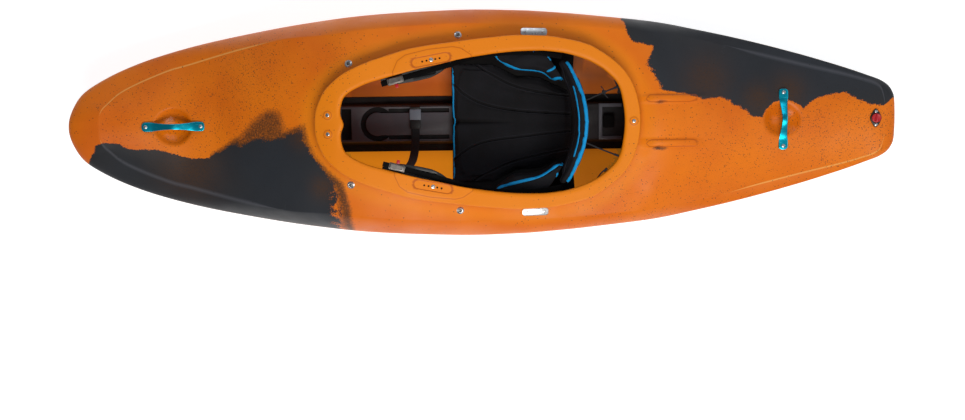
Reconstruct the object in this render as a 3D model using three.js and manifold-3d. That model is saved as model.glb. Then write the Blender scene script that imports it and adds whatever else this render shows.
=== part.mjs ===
import * as THREE from 'three';
import { mergeVertices } from 'three/addons/utils/BufferGeometryUtils.js';
import Module from 'manifold-3d';

const wasm = await Module();
wasm.setup();

// Driving sizes in millimetres: the bow points along -X, +Y is its left-hand side here, +Z is up
const hullLength = 2400;
const hullBeam = 660;
const rimHeight = 410;
const hullWall = 5;
const fit = 0.3;
const overrun = 30;
const halfLength = hullLength / 2;
const halfBeam = hullBeam / 2;
// How far pieces stand from the bow's tip and from the stern's
const fromBow = { bowl: 292, pillarFront: 120, pillarRear: 400, railFront: 350, footrest: 497 };
const fromStern = { bowl: 332, pillar: 145, drain: 65 };

// Hull lines, as shares of half the length and of half the beam or the rim height
const seamBreadthShares = [
  [-1, 0], [-0.992, 0.158], [-0.973, 0.288], [-0.942, 0.385], [-0.876, 0.521], [-0.807, 0.62],
  [-0.698, 0.73], [-0.586, 0.812], [-0.437, 0.9], [-0.287, 0.961], [-0.141, 0.989], [-0.03, 1],
  [0.08, 0.991], [0.191, 0.965], [0.302, 0.927], [0.415, 0.882], [0.528, 0.806], [0.642, 0.715],
  [0.752, 0.609], [0.86, 0.485], [0.931, 0.391], [0.966, 0.339], [0.983, 0.294], [0.993, 0.242],
  [0.998, 0.188], [1, 0],
];
const seamHeightShares = [
  [-1, 0.634], [-0.992, 0.607], [-0.955, 0.539], [-0.915, 0.485], [-0.849, 0.429],
  [-0.781, 0.393], [-0.718, 0.38], [-0.654, 0.378], [-0.546, 0.393], [-0.459, 0.412],
  [-0.349, 0.434], [-0.231, 0.456], [-0.074, 0.459], [0.072, 0.449], [0.193, 0.429],
  [0.312, 0.405], [0.432, 0.373], [0.548, 0.346], [0.666, 0.334], [0.736, 0.339], [0.81, 0.361],
  [0.922, 0.41], [1, 0.444],
];
const keelHeightShares = [
  [-1, 0.639], [-0.967, 0.529], [-0.928, 0.451], [-0.852, 0.329], [-0.776, 0.237],
  [-0.699, 0.159], [-0.624, 0.112], [-0.548, 0.078], [-0.473, 0.054], [-0.399, 0.037],
  [-0.325, 0.022], [-0.25, 0.01], [-0.125, 0], [0.189, 0], [0.26, 0.007], [0.332, 0.024],
  [0.403, 0.046], [0.473, 0.076], [0.544, 0.102], [0.614, 0.132], [0.685, 0.173],
  [0.754, 0.224], [0.824, 0.273], [0.892, 0.329], [0.962, 0.38], [1, 0.42],
];
const crownHeightShares = [
  [-1, 0.663], [-0.992, 0.683], [-0.967, 0.685], [-0.928, 0.678], [-0.852, 0.649],
  [-0.776, 0.607], [-0.718, 0.593], [-0.662, 0.607], [-0.586, 0.68], [-0.51, 0.766],
  [-0.436, 0.849], [-0.375, 0.898], [-0.328, 0.927], [-0.261, 0.934], [-0.195, 0.912],
  [-0.147, 0.878], [-0.098, 0.846], [-0.049, 0.807], [0.001, 0.754], [0.072, 0.683],
  [0.167, 0.659], [0.264, 0.639], [0.333, 0.634], [0.361, 0.639], [0.383, 0.659],
  [0.407, 0.683], [0.438, 0.671], [0.473, 0.641], [0.544, 0.593], [0.614, 0.549],
  [0.685, 0.515], [0.754, 0.5], [0.824, 0.49], [0.892, 0.498], [0.962, 0.507],
  [0.983, 0.493], [1, 0.459],
];
const shoulderHeightShares = [
  [-0.922, 0.68], [-0.912, 0.656], [-0.902, 0.628], [-0.882, 0.59], [-0.842, 0.541],
  [-0.795, 0.51], [-0.738, 0.488], [-0.696, 0.498], [-0.655, 0.522], [-0.573, 0.607],
  [-0.449, 0.741], [-0.375, 0.785], [-0.328, 0.817], [-0.261, 0.837], [-0.195, 0.824],
  [-0.147, 0.8], [-0.098, 0.766], [-0.049, 0.724], [0.001, 0.666], [0.026, 0.639],
  [0.072, 0.612], [0.172, 0.59], [0.264, 0.583], [0.361, 0.561], [0.415, 0.52],
  [0.475, 0.459], [0.528, 0.412], [0.583, 0.385], [0.682, 0.368], [0.801, 0.393],
  [0.912, 0.441], [0.958, 0.483], [0.971, 0.502],
];
const panelBulgeShares = [
  [-1, 0.95], [-0.93, 0.8], [-0.85, 0.4], [-0.5, 0.45], [-0.3, 0.7], [0.3, 0.75], [0.55, 0.5],
  [0.9, 0.5], [1, 0.9],
];
// The deck's shoulder line, as shares of its own reach and of half the beam
const shoulderBreadthShares = [
  [-1, 0], [-0.994, 0.136], [-0.978, 0.212], [-0.957, 0.288], [-0.915, 0.376], [-0.869, 0.448],
  [-0.828, 0.503], [-0.785, 0.542], [-0.746, 0.579], [-0.695, 0.624], [-0.647, 0.661],
  [-0.5, 0.745], [-0.422, 0.758], [-0.329, 0.794], [-0.174, 0.833], [-0.057, 0.852],
  [0.059, 0.852], [0.176, 0.836], [0.294, 0.806], [0.413, 0.773], [0.533, 0.712], [0.695, 0.573],
  [0.82, 0.464], [0.938, 0.358], [0.987, 0.279], [0.997, 0.152], [1, 0],
];
// The cockpit's lip and its opening, as shares of their own reach, half breadth and the rim height
const openingBreadthShares = [
  [-1, 0], [-0.982, 0.298], [-0.965, 0.372], [-0.927, 0.437], [-0.857, 0.511], [-0.787, 0.566],
  [-0.699, 0.615], [-0.581, 0.68], [-0.446, 0.749], [-0.308, 0.809], [-0.17, 0.878],
  [-0.03, 0.928], [0.11, 0.968], [0.253, 0.993], [0.396, 1], [0.539, 0.975], [0.682, 0.903],
  [0.827, 0.764], [0.897, 0.65], [0.94, 0.556], [0.97, 0.427], [0.99, 0.233], [1, 0],
];
const lipBreadthShares = [
  [-1, 0], [-0.996, 0.114], [-0.971, 0.261], [-0.939, 0.371], [-0.888, 0.469], [-0.816, 0.571],
  [-0.735, 0.645], [-0.664, 0.698], [-0.544, 0.771], [-0.423, 0.837], [-0.305, 0.878],
  [-0.182, 0.91], [-0.061, 0.943], [0.061, 0.971], [0.248, 1], [0.406, 0.992], [0.561, 0.947],
  [0.686, 0.882], [0.75, 0.816], [0.811, 0.739], [0.89, 0.608], [0.95, 0.441], [0.989, 0.212],
  [1, 0],
];
const lipHeightShares = [
  [-1, 0.956], [-0.923, 0.978], [-0.857, 0.99], [-0.706, 1], [-0.596, 0.993], [-0.471, 0.978],
  [-0.342, 0.954], [-0.213, 0.92], [-0.083, 0.876], [0.044, 0.832], [0.173, 0.798],
  [0.298, 0.771], [0.425, 0.746], [0.522, 0.739], [0.741, 0.729], [1, 0.72],
];

// Sizes and places of the cockpit rim, the bottom and the bowls under the grab handles
const rim = {
  length: 912, sideDeck: 85, middle: -21, overhang: 18, face: 20, rounding: 5, edgeDrop: 3,
  edgeDepth: 14, endLedge: 57, sideLedge: 43.5, openingMiddle: -9, openingRun: 8,
};
rim.breadth = hullBeam - 2 * rim.sideDeck;
rim.openingLength = rim.length - 2 * rim.endLedge;
rim.openingBreadth = rim.breadth - 2 * rim.sideLedge;
rim.front = rim.middle - rim.length / 2;
rim.rear = rim.middle + rim.length / 2;
const bottom = {
  chineReachShare: 0.955, chineBreadthShare: 0.7, chineLift: 16, flatReachShare: 0.9,
  flatBreadthShare: 0.42, keelReachShare: 0.88, flareSteps: 3, flarePower: 0.75,
};
const deck = {
  shoulderMiddleShare: 0.0242, shoulderReachShare: 0.947, crownPower: 2, panelSteps: 3,
  ringShares: [0.14, 0.3, 0.48, 0.66, 0.83, 1], tipWalls: 6,
};
const bowBowl = { middle: fromBow.bowl - halfLength, length: 104, breadth: 116, depth: 27 };
const sternBowl = { middle: halfLength - fromStern.bowl, length: 110, breadth: 110, depth: 25 };
const stepsAlong = 30;
const bowlSides = 20;
const weldDistance = 0.001;

// A smooth curve through pairs of shares that never runs past them
function smoothCurve(shares, warp = (share) => share) {
  const stops = shares.map(([share]) => warp(share));
  const values = shares.map(([, value]) => value);
  const rises = stops.slice(1).map((stop, i) => (values[i + 1] - values[i]) / (stop - stops[i]));
  const slopes = values.map((_, i) => {
    const before = rises[i - 1] ?? rises[i];
    const after = rises[i] ?? rises[i - 1];
    return before * after <= 0 ? 0 : (2 * before * after) / (before + after);
  });
  return (share) => {
    const at = warp(share);
    let i = 0;
    while (i < stops.length - 2 && at > stops[i + 1]) i += 1;
    const span = stops[i + 1] - stops[i];
    const t = THREE.MathUtils.clamp((at - stops[i]) / span, 0, 1);
    const back = 1 - t;
    const ends = values[i] * (1 + 2 * t) * back * back + values[i + 1] * t * t * (3 - 2 * t);
    const leans = slopes[i] * span * t * back * back - slopes[i + 1] * span * t * t * back;
    return ends + leans;
  };
}
const roundEnds = (share) => Math.acos(THREE.MathUtils.clamp(-share, -1, 1));

const lines = {
  seamHeight: smoothCurve(seamHeightShares),
  keelHeight: smoothCurve(keelHeightShares),
  crownHeight: smoothCurve(crownHeightShares),
  shoulderHeight: smoothCurve(shoulderHeightShares),
  panelBulge: smoothCurve(panelBulgeShares),
  lipHeight: smoothCurve(lipHeightShares),
};
// Closed lines seen from above: middle and reach along the boat, half breadth across it
const seamLoop = {
  middle: 0, reach: halfLength, breadth: halfBeam, shape: smoothCurve(seamBreadthShares, roundEnds),
};
const shoulderLoop = {
  middle: deck.shoulderMiddleShare * halfLength,
  reach: deck.shoulderReachShare * halfLength,
  breadth: halfBeam,
  shape: smoothCurve(shoulderBreadthShares, roundEnds),
};
const lipLoop = {
  middle: rim.middle, reach: rim.length / 2, breadth: rim.breadth / 2,
  shape: smoothCurve(lipBreadthShares, roundEnds),
};
const openingLoop = {
  middle: rim.openingMiddle, reach: rim.openingLength / 2, breadth: rim.openingBreadth / 2,
  shape: smoothCurve(openingBreadthShares, roundEnds),
};
const inset = (loop, side, end = side) => ({
  ...loop, reach: loop.reach - end, breadth: loop.breadth - side,
});
const onLoop = (loop, turn) => ({
  x: loop.middle - loop.reach * Math.cos(turn),
  y: loop.breadth * loop.shape(-Math.cos(turn)),
});
const breadthAt = (loop, x) =>
  loop.breadth * loop.shape(THREE.MathUtils.clamp((x - loop.middle) / loop.reach, -1, 1));
const heightAt = (line, x) => line(THREE.MathUtils.clamp(x / halfLength, -1, 1)) * rimHeight;
const keelAt = (x) => heightAt(lines.keelHeight, x);
const lipTopAt = (x) =>
  lines.lipHeight(THREE.MathUtils.clamp((x - rim.middle) / (rim.length / 2), -1, 1)) * rimHeight;
const between = (a, b, t) => ({ x: a.x + (b.x - a.x) * t, y: a.y + (b.y - a.y) * t });

// Height of the deck inside its shoulder line, at any place
function deckHeight(x, y) {
  const shoulder = heightAt(lines.shoulderHeight, x);
  const crown = heightAt(lines.crownHeight, x);
  const breadth = Math.max(breadthAt(shoulderLoop, x), weldDistance);
  const across = Math.min(Math.abs(y) / breadth, 1);
  return shoulder + (crown - shoulder) * (1 - across ** deck.crownPower);
}

// One closed ring of points from the bow along the left side to the stern and back on the right
function ring(pointAt) {
  const left = [];
  for (let i = 0; i <= stepsAlong; i += 1) {
    const point = pointAt((Math.PI * i) / stepsAlong);
    if (i === 0 || i === stepsAlong) point.y = 0;
    left.push(new THREE.Vector3(point.x, point.y, point.z));
  }
  const right = left.slice(1, -1).reverse();
  return left.concat(right.map((point) => new THREE.Vector3(point.x, -point.y, point.z)));
}

// Rings of the hull's skin from the keel up over the rim, moved in by a wall for its inside
function hullRings(wall) {
  const ends = wall * deck.tipWalls;
  const seam = inset(seamLoop, wall, ends);
  const shoulder = inset(shoulderLoop, wall, ends);
  const neck = inset(lipLoop, rim.overhang + wall);
  const chineOf = (turn) => {
    const edge = onLoop(seam, turn);
    const x = edge.x * bottom.chineReachShare;
    const y = edge.y * bottom.chineBreadthShare;
    const lift = bottom.chineLift * (y / (halfBeam * bottom.chineBreadthShare)) ** 2;
    return { x, y, z: keelAt(x) + wall + lift };
  };
  const seamOf = (turn) => {
    const edge = onLoop(seam, turn);
    return { ...edge, z: heightAt(lines.seamHeight, edge.x) };
  };
  const rings = [
    ring((turn) => {
      const x = onLoop(seam, turn).x * bottom.keelReachShare;
      return { x, y: 0, z: keelAt(x) + wall };
    }),
    ring((turn) => {
      const edge = onLoop(seam, turn);
      const x = edge.x * bottom.flatReachShare;
      return { x, y: edge.y * bottom.flatBreadthShare, z: keelAt(x) + wall };
    }),
    ring(chineOf),
  ];
  for (let i = 1; i < bottom.flareSteps; i += 1) {
    const t = i / bottom.flareSteps;
    rings.push(ring((turn) => {
      const low = chineOf(turn);
      const high = seamOf(turn);
      return { ...between(low, high, t ** bottom.flarePower), z: low.z + (high.z - low.z) * t };
    }));
  }
  rings.push(ring(seamOf));
  for (let i = 1; i <= deck.panelSteps; i += 1) {
    const t = i / deck.panelSteps;
    rings.push(ring((turn) => {
      const low = seamOf(turn);
      const high = onLoop(shoulder, turn);
      const flat = between(low, high, t);
      const bulge = lines.panelBulge(flat.x / halfLength);
      const rise = (1 - bulge) * t + bulge * Math.sqrt(1 - (1 - t) ** 2);
      const top = heightAt(lines.shoulderHeight, high.x) - wall;
      return { ...flat, z: low.z + (top - low.z) * rise };
    }));
  }
  deck.ringShares.forEach((share) => {
    rings.push(ring((turn) => {
      const place = between(onLoop(shoulder, turn), onLoop(neck, turn), share);
      return { ...place, z: deckHeight(place.x, place.y) - wall };
    }));
  });
  return rings;
}

// The rim's lip, ending in a lid over the cockpit that the inside then cuts away
function rimRings() {
  const level = (loop, drop) => ring((turn) => {
    const place = onLoop(loop, turn);
    return { ...place, z: lipTopAt(place.x) - drop };
  });
  return [
    level(inset(lipLoop, rim.overhang), rim.face),
    level(lipLoop, rim.face),
    level(lipLoop, rim.rounding),
    level(inset(lipLoop, rim.rounding), 0),
    level(inset(openingLoop, -rim.openingRun), 0),
    level(inset(openingLoop, rim.openingRun), rim.edgeDrop),
    ring((turn) => {
      const x = onLoop(openingLoop, turn).x;
      return { x, y: 0, z: lipTopAt(x) - rim.edgeDrop };
    }),
  ];
}

// The cockpit's way out: up the inside of the opening to well above the rim
function shaftRings(wall) {
  const level = (loop, rise) => ring((turn) => {
    const place = onLoop(loop, turn);
    return { ...place, z: lipTopAt(place.x) + rise };
  });
  const opening = inset(openingLoop, wall - hullWall);
  return [
    level(opening, -rim.edgeDepth - (wall - hullWall)),
    level(opening, overrun),
    ring((turn) => {
      const x = onLoop(openingLoop, turn).x;
      return { x, y: 0, z: lipTopAt(x) + overrun };
    }),
  ];
}

// A closed skin through rings of equal count; the first and last are folded flat on the middle
function skin(rings) {
  const count = rings[0].length;
  const positions = rings.flat().flatMap((point) => point.toArray());
  const index = [];
  for (let r = 0; r + 1 < rings.length; r += 1) {
    for (let i = 0; i < count; i += 1) {
      const a = r * count + i;
      const b = r * count + ((i + 1) % count);
      const c = b + count;
      const d = a + count;
      if (i < count / 2) index.push(a, d, b, b, d, c);
      else index.push(a, c, b, a, d, c);
    }
  }
  return shape(positions, index);
}

function shape(positions, index) {
  const geometry = new THREE.BufferGeometry();
  geometry.setAttribute('position', new THREE.Float32BufferAttribute(positions, 3));
  geometry.setIndex(index);
  return geometry;
}

function toSolid(geometry) {
  const bare = geometry.clone();
  bare.deleteAttribute('normal');
  bare.deleteAttribute('uv');
  const merged = mergeVertices(bare, weldDistance);
  return new wasm.Manifold(new wasm.Mesh({
    numProp: 3,
    vertProperties: new Float32Array(merged.attributes.position.array),
    triVerts: new Uint32Array(merged.index.array),
  }));
}

function toGeometry(solid) {
  const mesh = solid.getMesh();
  const geometry = shape(Array.from(mesh.vertProperties), Array.from(mesh.triVerts));
  geometry.computeVertexNormals();
  return geometry;
}

// A dished bowl, as the lower part of a stretched ball, grown on all sides by a wall
function bowlSolid(bowl, grow) {
  const rest = (bowl.length / 2) ** 2 / bowl.depth;
  const radius = (rest + bowl.depth) / 2;
  const ball = new THREE.SphereGeometry(radius + grow, bowlSides, bowlSides / 2);
  ball.scale(1, bowl.breadth / bowl.length, 1);
  const top = deckHeight(bowl.middle, 0);
  ball.translate(bowl.middle, 0, top + radius - bowl.depth);
  return toSolid(ball);
}

// A closed body through a row of equal outlines; place puts an outline's point in space
function loft(outlines, place) {
  const count = outlines[0].length;
  const positions = outlines.flatMap((outline, i) =>
    outline.flatMap((point) => place(point, i).toArray()));
  const index = [];
  for (let i = 0; i + 1 < outlines.length; i += 1) {
    for (let j = 0; j < count; j += 1) {
      const a = i * count + j;
      const b = i * count + ((j + 1) % count);
      index.push(a, b, b + count, a, b + count, a + count);
    }
  }
  const last = (outlines.length - 1) * count;
  THREE.ShapeUtils.triangulateShape(outlines[0], []).forEach(([a, b, c]) => index.push(a, c, b));
  THREE.ShapeUtils.triangulateShape(outlines.at(-1), []).forEach(([a, b, c]) => {
    index.push(last + a, last + b, last + c);
  });
  const geometry = shape(positions, index);
  geometry.computeVertexNormals();
  return geometry;
}
const flat = (pairs) => pairs.map(([u, v]) => new THREE.Vector2(u, v));
const alongX = (stations) => (point, i) => new THREE.Vector3(stations[i], point.x, point.y);
const alongY = (stations) => (point, i) => new THREE.Vector3(point.y, stations[i], point.x);
const alongZ = (stations) => (point, i) => new THREE.Vector3(point.x, point.y, stations[i]);

// Outline of a rectangle with its corners cut or rounded in a few steps
function roundedOutline(width, height, radius, steps = 1) {
  const corners = [[1, 1], [-1, 1], [-1, -1], [1, -1]];
  return corners.flatMap(([sx, sy], quarter) => {
    const turns = Array.from({ length: steps + 1 }, (_, i) => (quarter + i / steps) * (Math.PI / 2));
    return turns.map((turn) => new THREE.Vector2(
      sx * (width / 2 - radius) + radius * Math.cos(turn),
      sy * (height / 2 - radius) + radius * Math.sin(turn),
    ));
  });
}
function plate(width, height, thickness, radius, steps = 3, low = 0) {
  const outline = roundedOutline(width, height, radius, steps);
  return loft([outline, outline], alongZ([low, low + thickness]));
}
function block(x, y, z) {
  const box = new THREE.BoxGeometry(x[1] - x[0], y[1] - y[0], z[1] - z[0]);
  box.translate((x[0] + x[1]) / 2, (y[0] + y[1]) / 2, (z[0] + z[1]) / 2);
  return box;
}
// A body turned round Z from pairs of radius and height, starting and ending on the axis
function turned(pairs, sides = 8) {
  const geometry = new THREE.LatheGeometry(flat(pairs), sides);
  geometry.rotateX(Math.PI / 2);
  return geometry;
}
function flipSide(geometry) {
  const other = geometry.clone();
  other.scale(1, -1, 1);
  const index = Array.from(other.index.array);
  for (let i = 0; i < index.length; i += 3) [index[i], index[i + 1]] = [index[i + 1], index[i]];
  other.setIndex(index);
  other.computeVertexNormals();
  return other;
}
const matrixOf = (seat) =>
  new THREE.Matrix4().compose(seat.position, seat.quaternion, new THREE.Vector3(1, 1, 1));
const placed = (geometry, seat) => geometry.clone().applyMatrix4(matrixOf(seat));
const lifted = (seat, x, y, z) => ({
  position: new THREE.Vector3(x, y, z).applyMatrix4(matrixOf(seat)),
  quaternion: seat.quaternion,
});
// A seat from a place, a heading along X and an upward direction
function seatFrom(position, heading, up) {
  const side = new THREE.Vector3().crossVectors(up, heading).normalize();
  const front = new THREE.Vector3().crossVectors(side, up).normalize();
  const basis = new THREE.Matrix4().makeBasis(front, side, up.clone().normalize());
  return { position, quaternion: new THREE.Quaternion().setFromRotationMatrix(basis) };
}

const group = new THREE.Group();
const paint = (color, roughness, metalness = 0) =>
  new THREE.MeshStandardMaterial({ color, roughness, metalness });
const orangeShell = paint(0xe07a12, 0.45);
const blackPlastic = paint(0x1b1b1c, 0.5);
const blackFabric = paint(0x16171b, 0.9);
const greyFoam = paint(0x3a3c40, 0.95);
const tealAlloy = paint(0x1f9aa3, 0.3, 1);
const steel = paint(0xa8abad, 0.3, 1);
const greyPlastic = paint(0x5c6066, 0.5);
const redPlastic = paint(0xb51f2a, 0.45);
const sealRubber = paint(0x222222, 0.8);
const webbing = paint(0x141416, 0.85);

function add(name, geometry, material, seat) {
  const mesh = new THREE.Mesh(geometry, material);
  mesh.name = name;
  if (seat) {
    mesh.position.copy(seat.position);
    mesh.quaternion.copy(seat.quaternion);
  }
  group.add(mesh);
  return mesh;
}

// The hull's outer form, its inside and the trimming bodies for what touches it
const bowls = [bowBowl, sternBowl];
const outerForm = bowls.reduce(
  (solid, bowl) => solid.subtract(bowlSolid(bowl, 0)),
  toSolid(skin([...hullRings(0), ...rimRings()])),
);
const insideForm = (wall) => bowls.reduce(
  (solid, bowl) => solid.subtract(bowlSolid(bowl, wall)),
  toSolid(skin([...hullRings(wall), ...shaftRings(wall)])),
);
const room = insideForm(hullWall + fit);
const raisedForm = outerForm.translate([0, 0, fit]);
const inRoom = (solid) => solid.intersect(room);
const offDeck = (geometry) => toSolid(geometry).subtract(raisedForm);

const deckMesh = new THREE.Mesh(toGeometry(outerForm), new THREE.MeshBasicMaterial());
const upward = new THREE.Vector3(0, 0, 1);
const sternward = new THREE.Vector3(1, 0, 0);
function deckSeat(x, y, heading = sternward) {
  const high = new THREE.Vector3(x, y, rimHeight + overrun);
  const hit = new THREE.Raycaster(high, new THREE.Vector3(0, 0, -1)).intersectObject(deckMesh)[0];
  const normal = y === 0 ? hit.face.normal.clone().setY(0) : hit.face.normal;
  return seatFrom(hit.point, heading, normal);
}

// Fasteners: a domed head on z = 0 and a shank below it; each leaves a hole in what it holds
const hullDrills = [];
const headSteps = 2;
const cupMouthShare = 1.1;
function screwForm({ head, crown, shank, length, washer = 0, washerHeight = 0 }) {
  const dome = Array.from({ length: headSteps + 1 }, (_, i) => {
    const turn = ((i / headSteps) * Math.PI) / 2;
    return [head * Math.cos(turn), washerHeight + crown * Math.sin(turn)];
  });
  dome[headSteps][0] = 0;
  const cup = washer > 0 ? [[washer, 0], [head * cupMouthShare, washerHeight]] : [[head, 0]];
  const overCup = washer > 0 ? dome : dome.slice(1);
  return turned([[0, -length], [shank, -length], [shank, 0], ...cup, ...overCup]);
}
function drillTool(seat, radius, depth) {
  const rod = new THREE.CylinderGeometry(radius, radius, depth + overrun, 8);
  rod.rotateX(Math.PI / 2);
  rod.translate(0, 0, (overrun - depth) / 2);
  return toSolid(placed(rod, seat));
}
function fasten(name, seat, size) {
  add(name, screwForm(size), steel, seat);
  const drill = drillTool(seat, size.shank + fit, size.length + fit);
  hullDrills.push(drill);
  return drill;
}
const deckScrew = { head: 5.5, crown: 2.6, shank: 3, length: 20 };
const cupScrew = { head: 5, crown: 2.4, shank: 3, length: 22, washer: 9, washerHeight: 1.8 };
const plateScrew = { head: 4.5, crown: 1.8, shank: 2.5, length: 16 };
const rimScrew = { head: 5.5, crown: 2.4, shank: 3, length: 12 };
const gripBolt = { head: 6, crown: 2.2, shank: 3, length: 44 };

// Grab handles: an arched alloy bar over its bowl, screwed to the deck at both feet
const handle = {
  length: 177, pitch: 156, footWidth: 27, waist: 16, thickness: 6, rise: 20, footLength: 26,
  corner: 2, sink: 3,
};
const handleStationShares = [-1, -0.95, -0.84, -0.7, -0.5, -0.25, 0, 0.25, 0.5, 0.7, 0.84, 0.95, 1];
const handleEndShare = 0.55;
function grabHandle(name, bowl, heading, screwNames) {
  const across = new THREE.Vector3().crossVectors(upward, heading);
  const feet = [-1, 1].map((end) => {
    const reach = (end * handle.pitch) / 2;
    return deckSeat(bowl.middle + heading.x * reach, heading.y * reach).position;
  });
  const middle = feet[0].clone().add(feet[1]).divideScalar(2);
  const run = feet[1].clone().sub(feet[0]);
  const seat = seatFrom(middle, run, new THREE.Vector3().crossVectors(run, across).normalize());
  const half = handle.length / 2;
  const archHalf = half - handle.footLength;
  const stations = handleStationShares.map((share) => share * half);
  const outlines = stations.map((x) => {
    const inner = Math.min(Math.abs(x) / archHalf, 1);
    const arch = (handle.rise * (1 + Math.cos(Math.PI * inner))) / 2;
    const isEnd = Math.abs(x) === half;
    const full = handle.waist + (handle.footWidth - handle.waist) * inner ** 2;
    const width = isEnd ? full * handleEndShare : full;
    const low = arch > 0 ? arch : -handle.sink;
    const high = arch + handle.thickness;
    return roundedOutline(width, high - low, handle.corner)
      .map((point) => new THREE.Vector2(point.x, point.y + (high + low) / 2));
  });
  const bar = loft(outlines, alongX(stations));
  let solid = offDeck(placed(bar, seat));
  screwNames.forEach((screwName, i) => {
    const end = i * 2 - 1;
    const head = lifted(seat, (end * handle.pitch) / 2, 0, handle.thickness + fit);
    solid = solid.subtract(fasten(screwName, head, deckScrew));
  });
  add(name, toGeometry(solid), tealAlloy);
}
grabHandle('bow_handle', bowBowl, sternward, ['bow_handle_screw_front', 'bow_handle_screw_rear']);
grabHandle('stern_handle', sternBowl, new THREE.Vector3(0, 1, 0),
  ['stern_handle_screw_right', 'stern_handle_screw_left']);

// Drain: a diamond flange with a threaded bush, a sealing ring and a screw plug
const drain = {
  length: 33, breadth: 54, thickness: 5, sink: 3, bush: 12.5, bushLength: 20,
  bore: 10, sealRadius: 13.2, sealHeight: 2.2, sealRecess: 2, stem: 9.6, stemLength: 14,
  knob: 13.4, knobHeight: 6, gripWidth: 5, gripHeight: 5, gripLength: 22, screwPitch: 38,
};
const diamondPower = 1.35;
const diamondSteps = 20;
const lathedSides = 18;
const drainSeat = deckSeat(halfLength - fromStern.drain, 0);
{
  const outline = Array.from({ length: diamondSteps }, (_, i) => {
    const turn = (2 * Math.PI * i) / diamondSteps;
    const bend = (value) => Math.sign(value) * Math.abs(value) ** (2 / diamondPower);
    return new THREE.Vector2(
      (drain.length / 2) * bend(Math.cos(turn)),
      (drain.breadth / 2) * bend(Math.sin(turn)),
    );
  });
  const plateForm = loft([outline, outline], alongZ([-drain.sink, drain.thickness]));
  const rod = (radius, low, high) => placed(
    turned([[0, low], [radius, low], [radius, high], [0, high]], lathedSides), drainSeat,
  );
  const below = -drain.bushLength;
  const top = drain.thickness;
  let flange = offDeck(placed(plateForm, drainSeat));
  const collar = Math.max(drain.sealRadius + fit, drain.bush);
  flange = flange.add(toSolid(rod(drain.bush, below, top - drain.sealRecess)));
  flange = flange.subtract(toSolid(rod(drain.bore, below - overrun, top + overrun)));
  flange = flange.subtract(toSolid(rod(collar, top - drain.sealRecess, top + overrun)));
  hullDrills.push(toSolid(rod(drain.bush + fit, below - fit, overrun)));
  ['drain_screw_right', 'drain_screw_left'].forEach((name, i) => {
    const side = i * 2 - 1;
    const seat = lifted(drainSeat, 0, (side * drain.screwPitch) / 2, top + fit);
    flange = flange.subtract(fasten(name, seat, plateScrew));
  });
  add('drain_flange', toGeometry(flange), blackPlastic);

  const sealLow = top - drain.sealRecess + fit;
  const sealHigh = sealLow + drain.sealHeight;
  add('drain_seal', turned([
    [drain.bore + fit, sealLow], [drain.sealRadius, sealLow], [drain.sealRadius, sealHigh],
    [drain.bore + fit, sealHigh], [drain.bore + fit, sealLow],
  ], lathedSides), sealRubber, drainSeat);

  const knobLow = sealHigh + fit;
  const knobTop = knobLow + drain.knobHeight;
  const knob = toSolid(turned([
    [0, -drain.stemLength + top], [drain.stem, -drain.stemLength + top], [drain.stem, knobLow],
    [drain.knob, knobLow], [drain.knob, knobTop], [0, knobTop],
  ], lathedSides));
  const grip = toSolid(block(
    [-drain.gripWidth / 2, drain.gripWidth / 2], [-drain.gripLength / 2, drain.gripLength / 2],
    [knobTop - drain.gripHeight / 2, knobTop + drain.gripHeight],
  ));
  add('drain_plug', toGeometry(knob.add(grip)), redPlastic, drainSeat);
}

const sides = [{ name: 'left', sign: 1 }, { name: 'right', sign: -1 }];
const besideLip = ({ middle, fromLip }) =>
  sides.map(({ sign }) => deckSeat(middle, sign * (breadthAt(lipLoop, middle) + fromLip)));

// Security plates: flat steel plates either side of the cockpit, half under the lip
const securityPlate = {
  middle: 139, fromLip: 13.9, length: 76, breadth: 22, thickness: 2.2, corner: 8, pitch: 52, sink: 2,
};
const plateSeats = besideLip(securityPlate);
sides.forEach(({ name }, side) => {
  const seat = plateSeats[side];
  const { length, breadth, thickness, corner, sink } = securityPlate;
  const form = plate(length, breadth, thickness + sink, corner, 2, -sink);
  let solid = offDeck(placed(form, seat));
  ['front', 'rear'].forEach((end, i) => {
    const x = ((i * 2 - 1) * securityPlate.pitch) / 2;
    const head = lifted(seat, x, 0, thickness + fit);
    solid = solid.subtract(fasten(`security_screw_${name}_${end}`, head, plateScrew));
  });
  add(`security_plate_${name}`, toGeometry(solid), steel);
});

// Screws through the deck beside the cockpit and bolts in the rim
const railScrew = { fromFront: 97, fromLip: 21 };
railScrew.middle = rim.front + railScrew.fromFront;
const seatScrew = { middle: -77, fromLip: 20 };
const rimBolt = { fromFront: 35, outboard: 26, fromRear: 22 };
const lift = (seat) => lifted(seat, 0, 0, 2 * fit);
const railSeats = besideLip(railScrew);
const seatSeats = besideLip(seatScrew);
const railDrills = sides.map(({ name }, i) =>
  fasten(`rail_screw_${name}`, lift(railSeats[i]), cupScrew));
const seatDrills = sides.map(({ name }, i) =>
  fasten(`seat_screw_${name}`, lift(seatSeats[i]), cupScrew));
sides.forEach(({ name, sign }) => {
  const spot = deckSeat(rim.front + rimBolt.fromFront, sign * rimBolt.outboard);
  fasten(`rim_bolt_${name}`, lift(spot), rimScrew);
});
fasten('rim_screw_rear', lift(deckSeat(rim.rear - rimBolt.fromRear, 0)), rimScrew);

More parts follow.
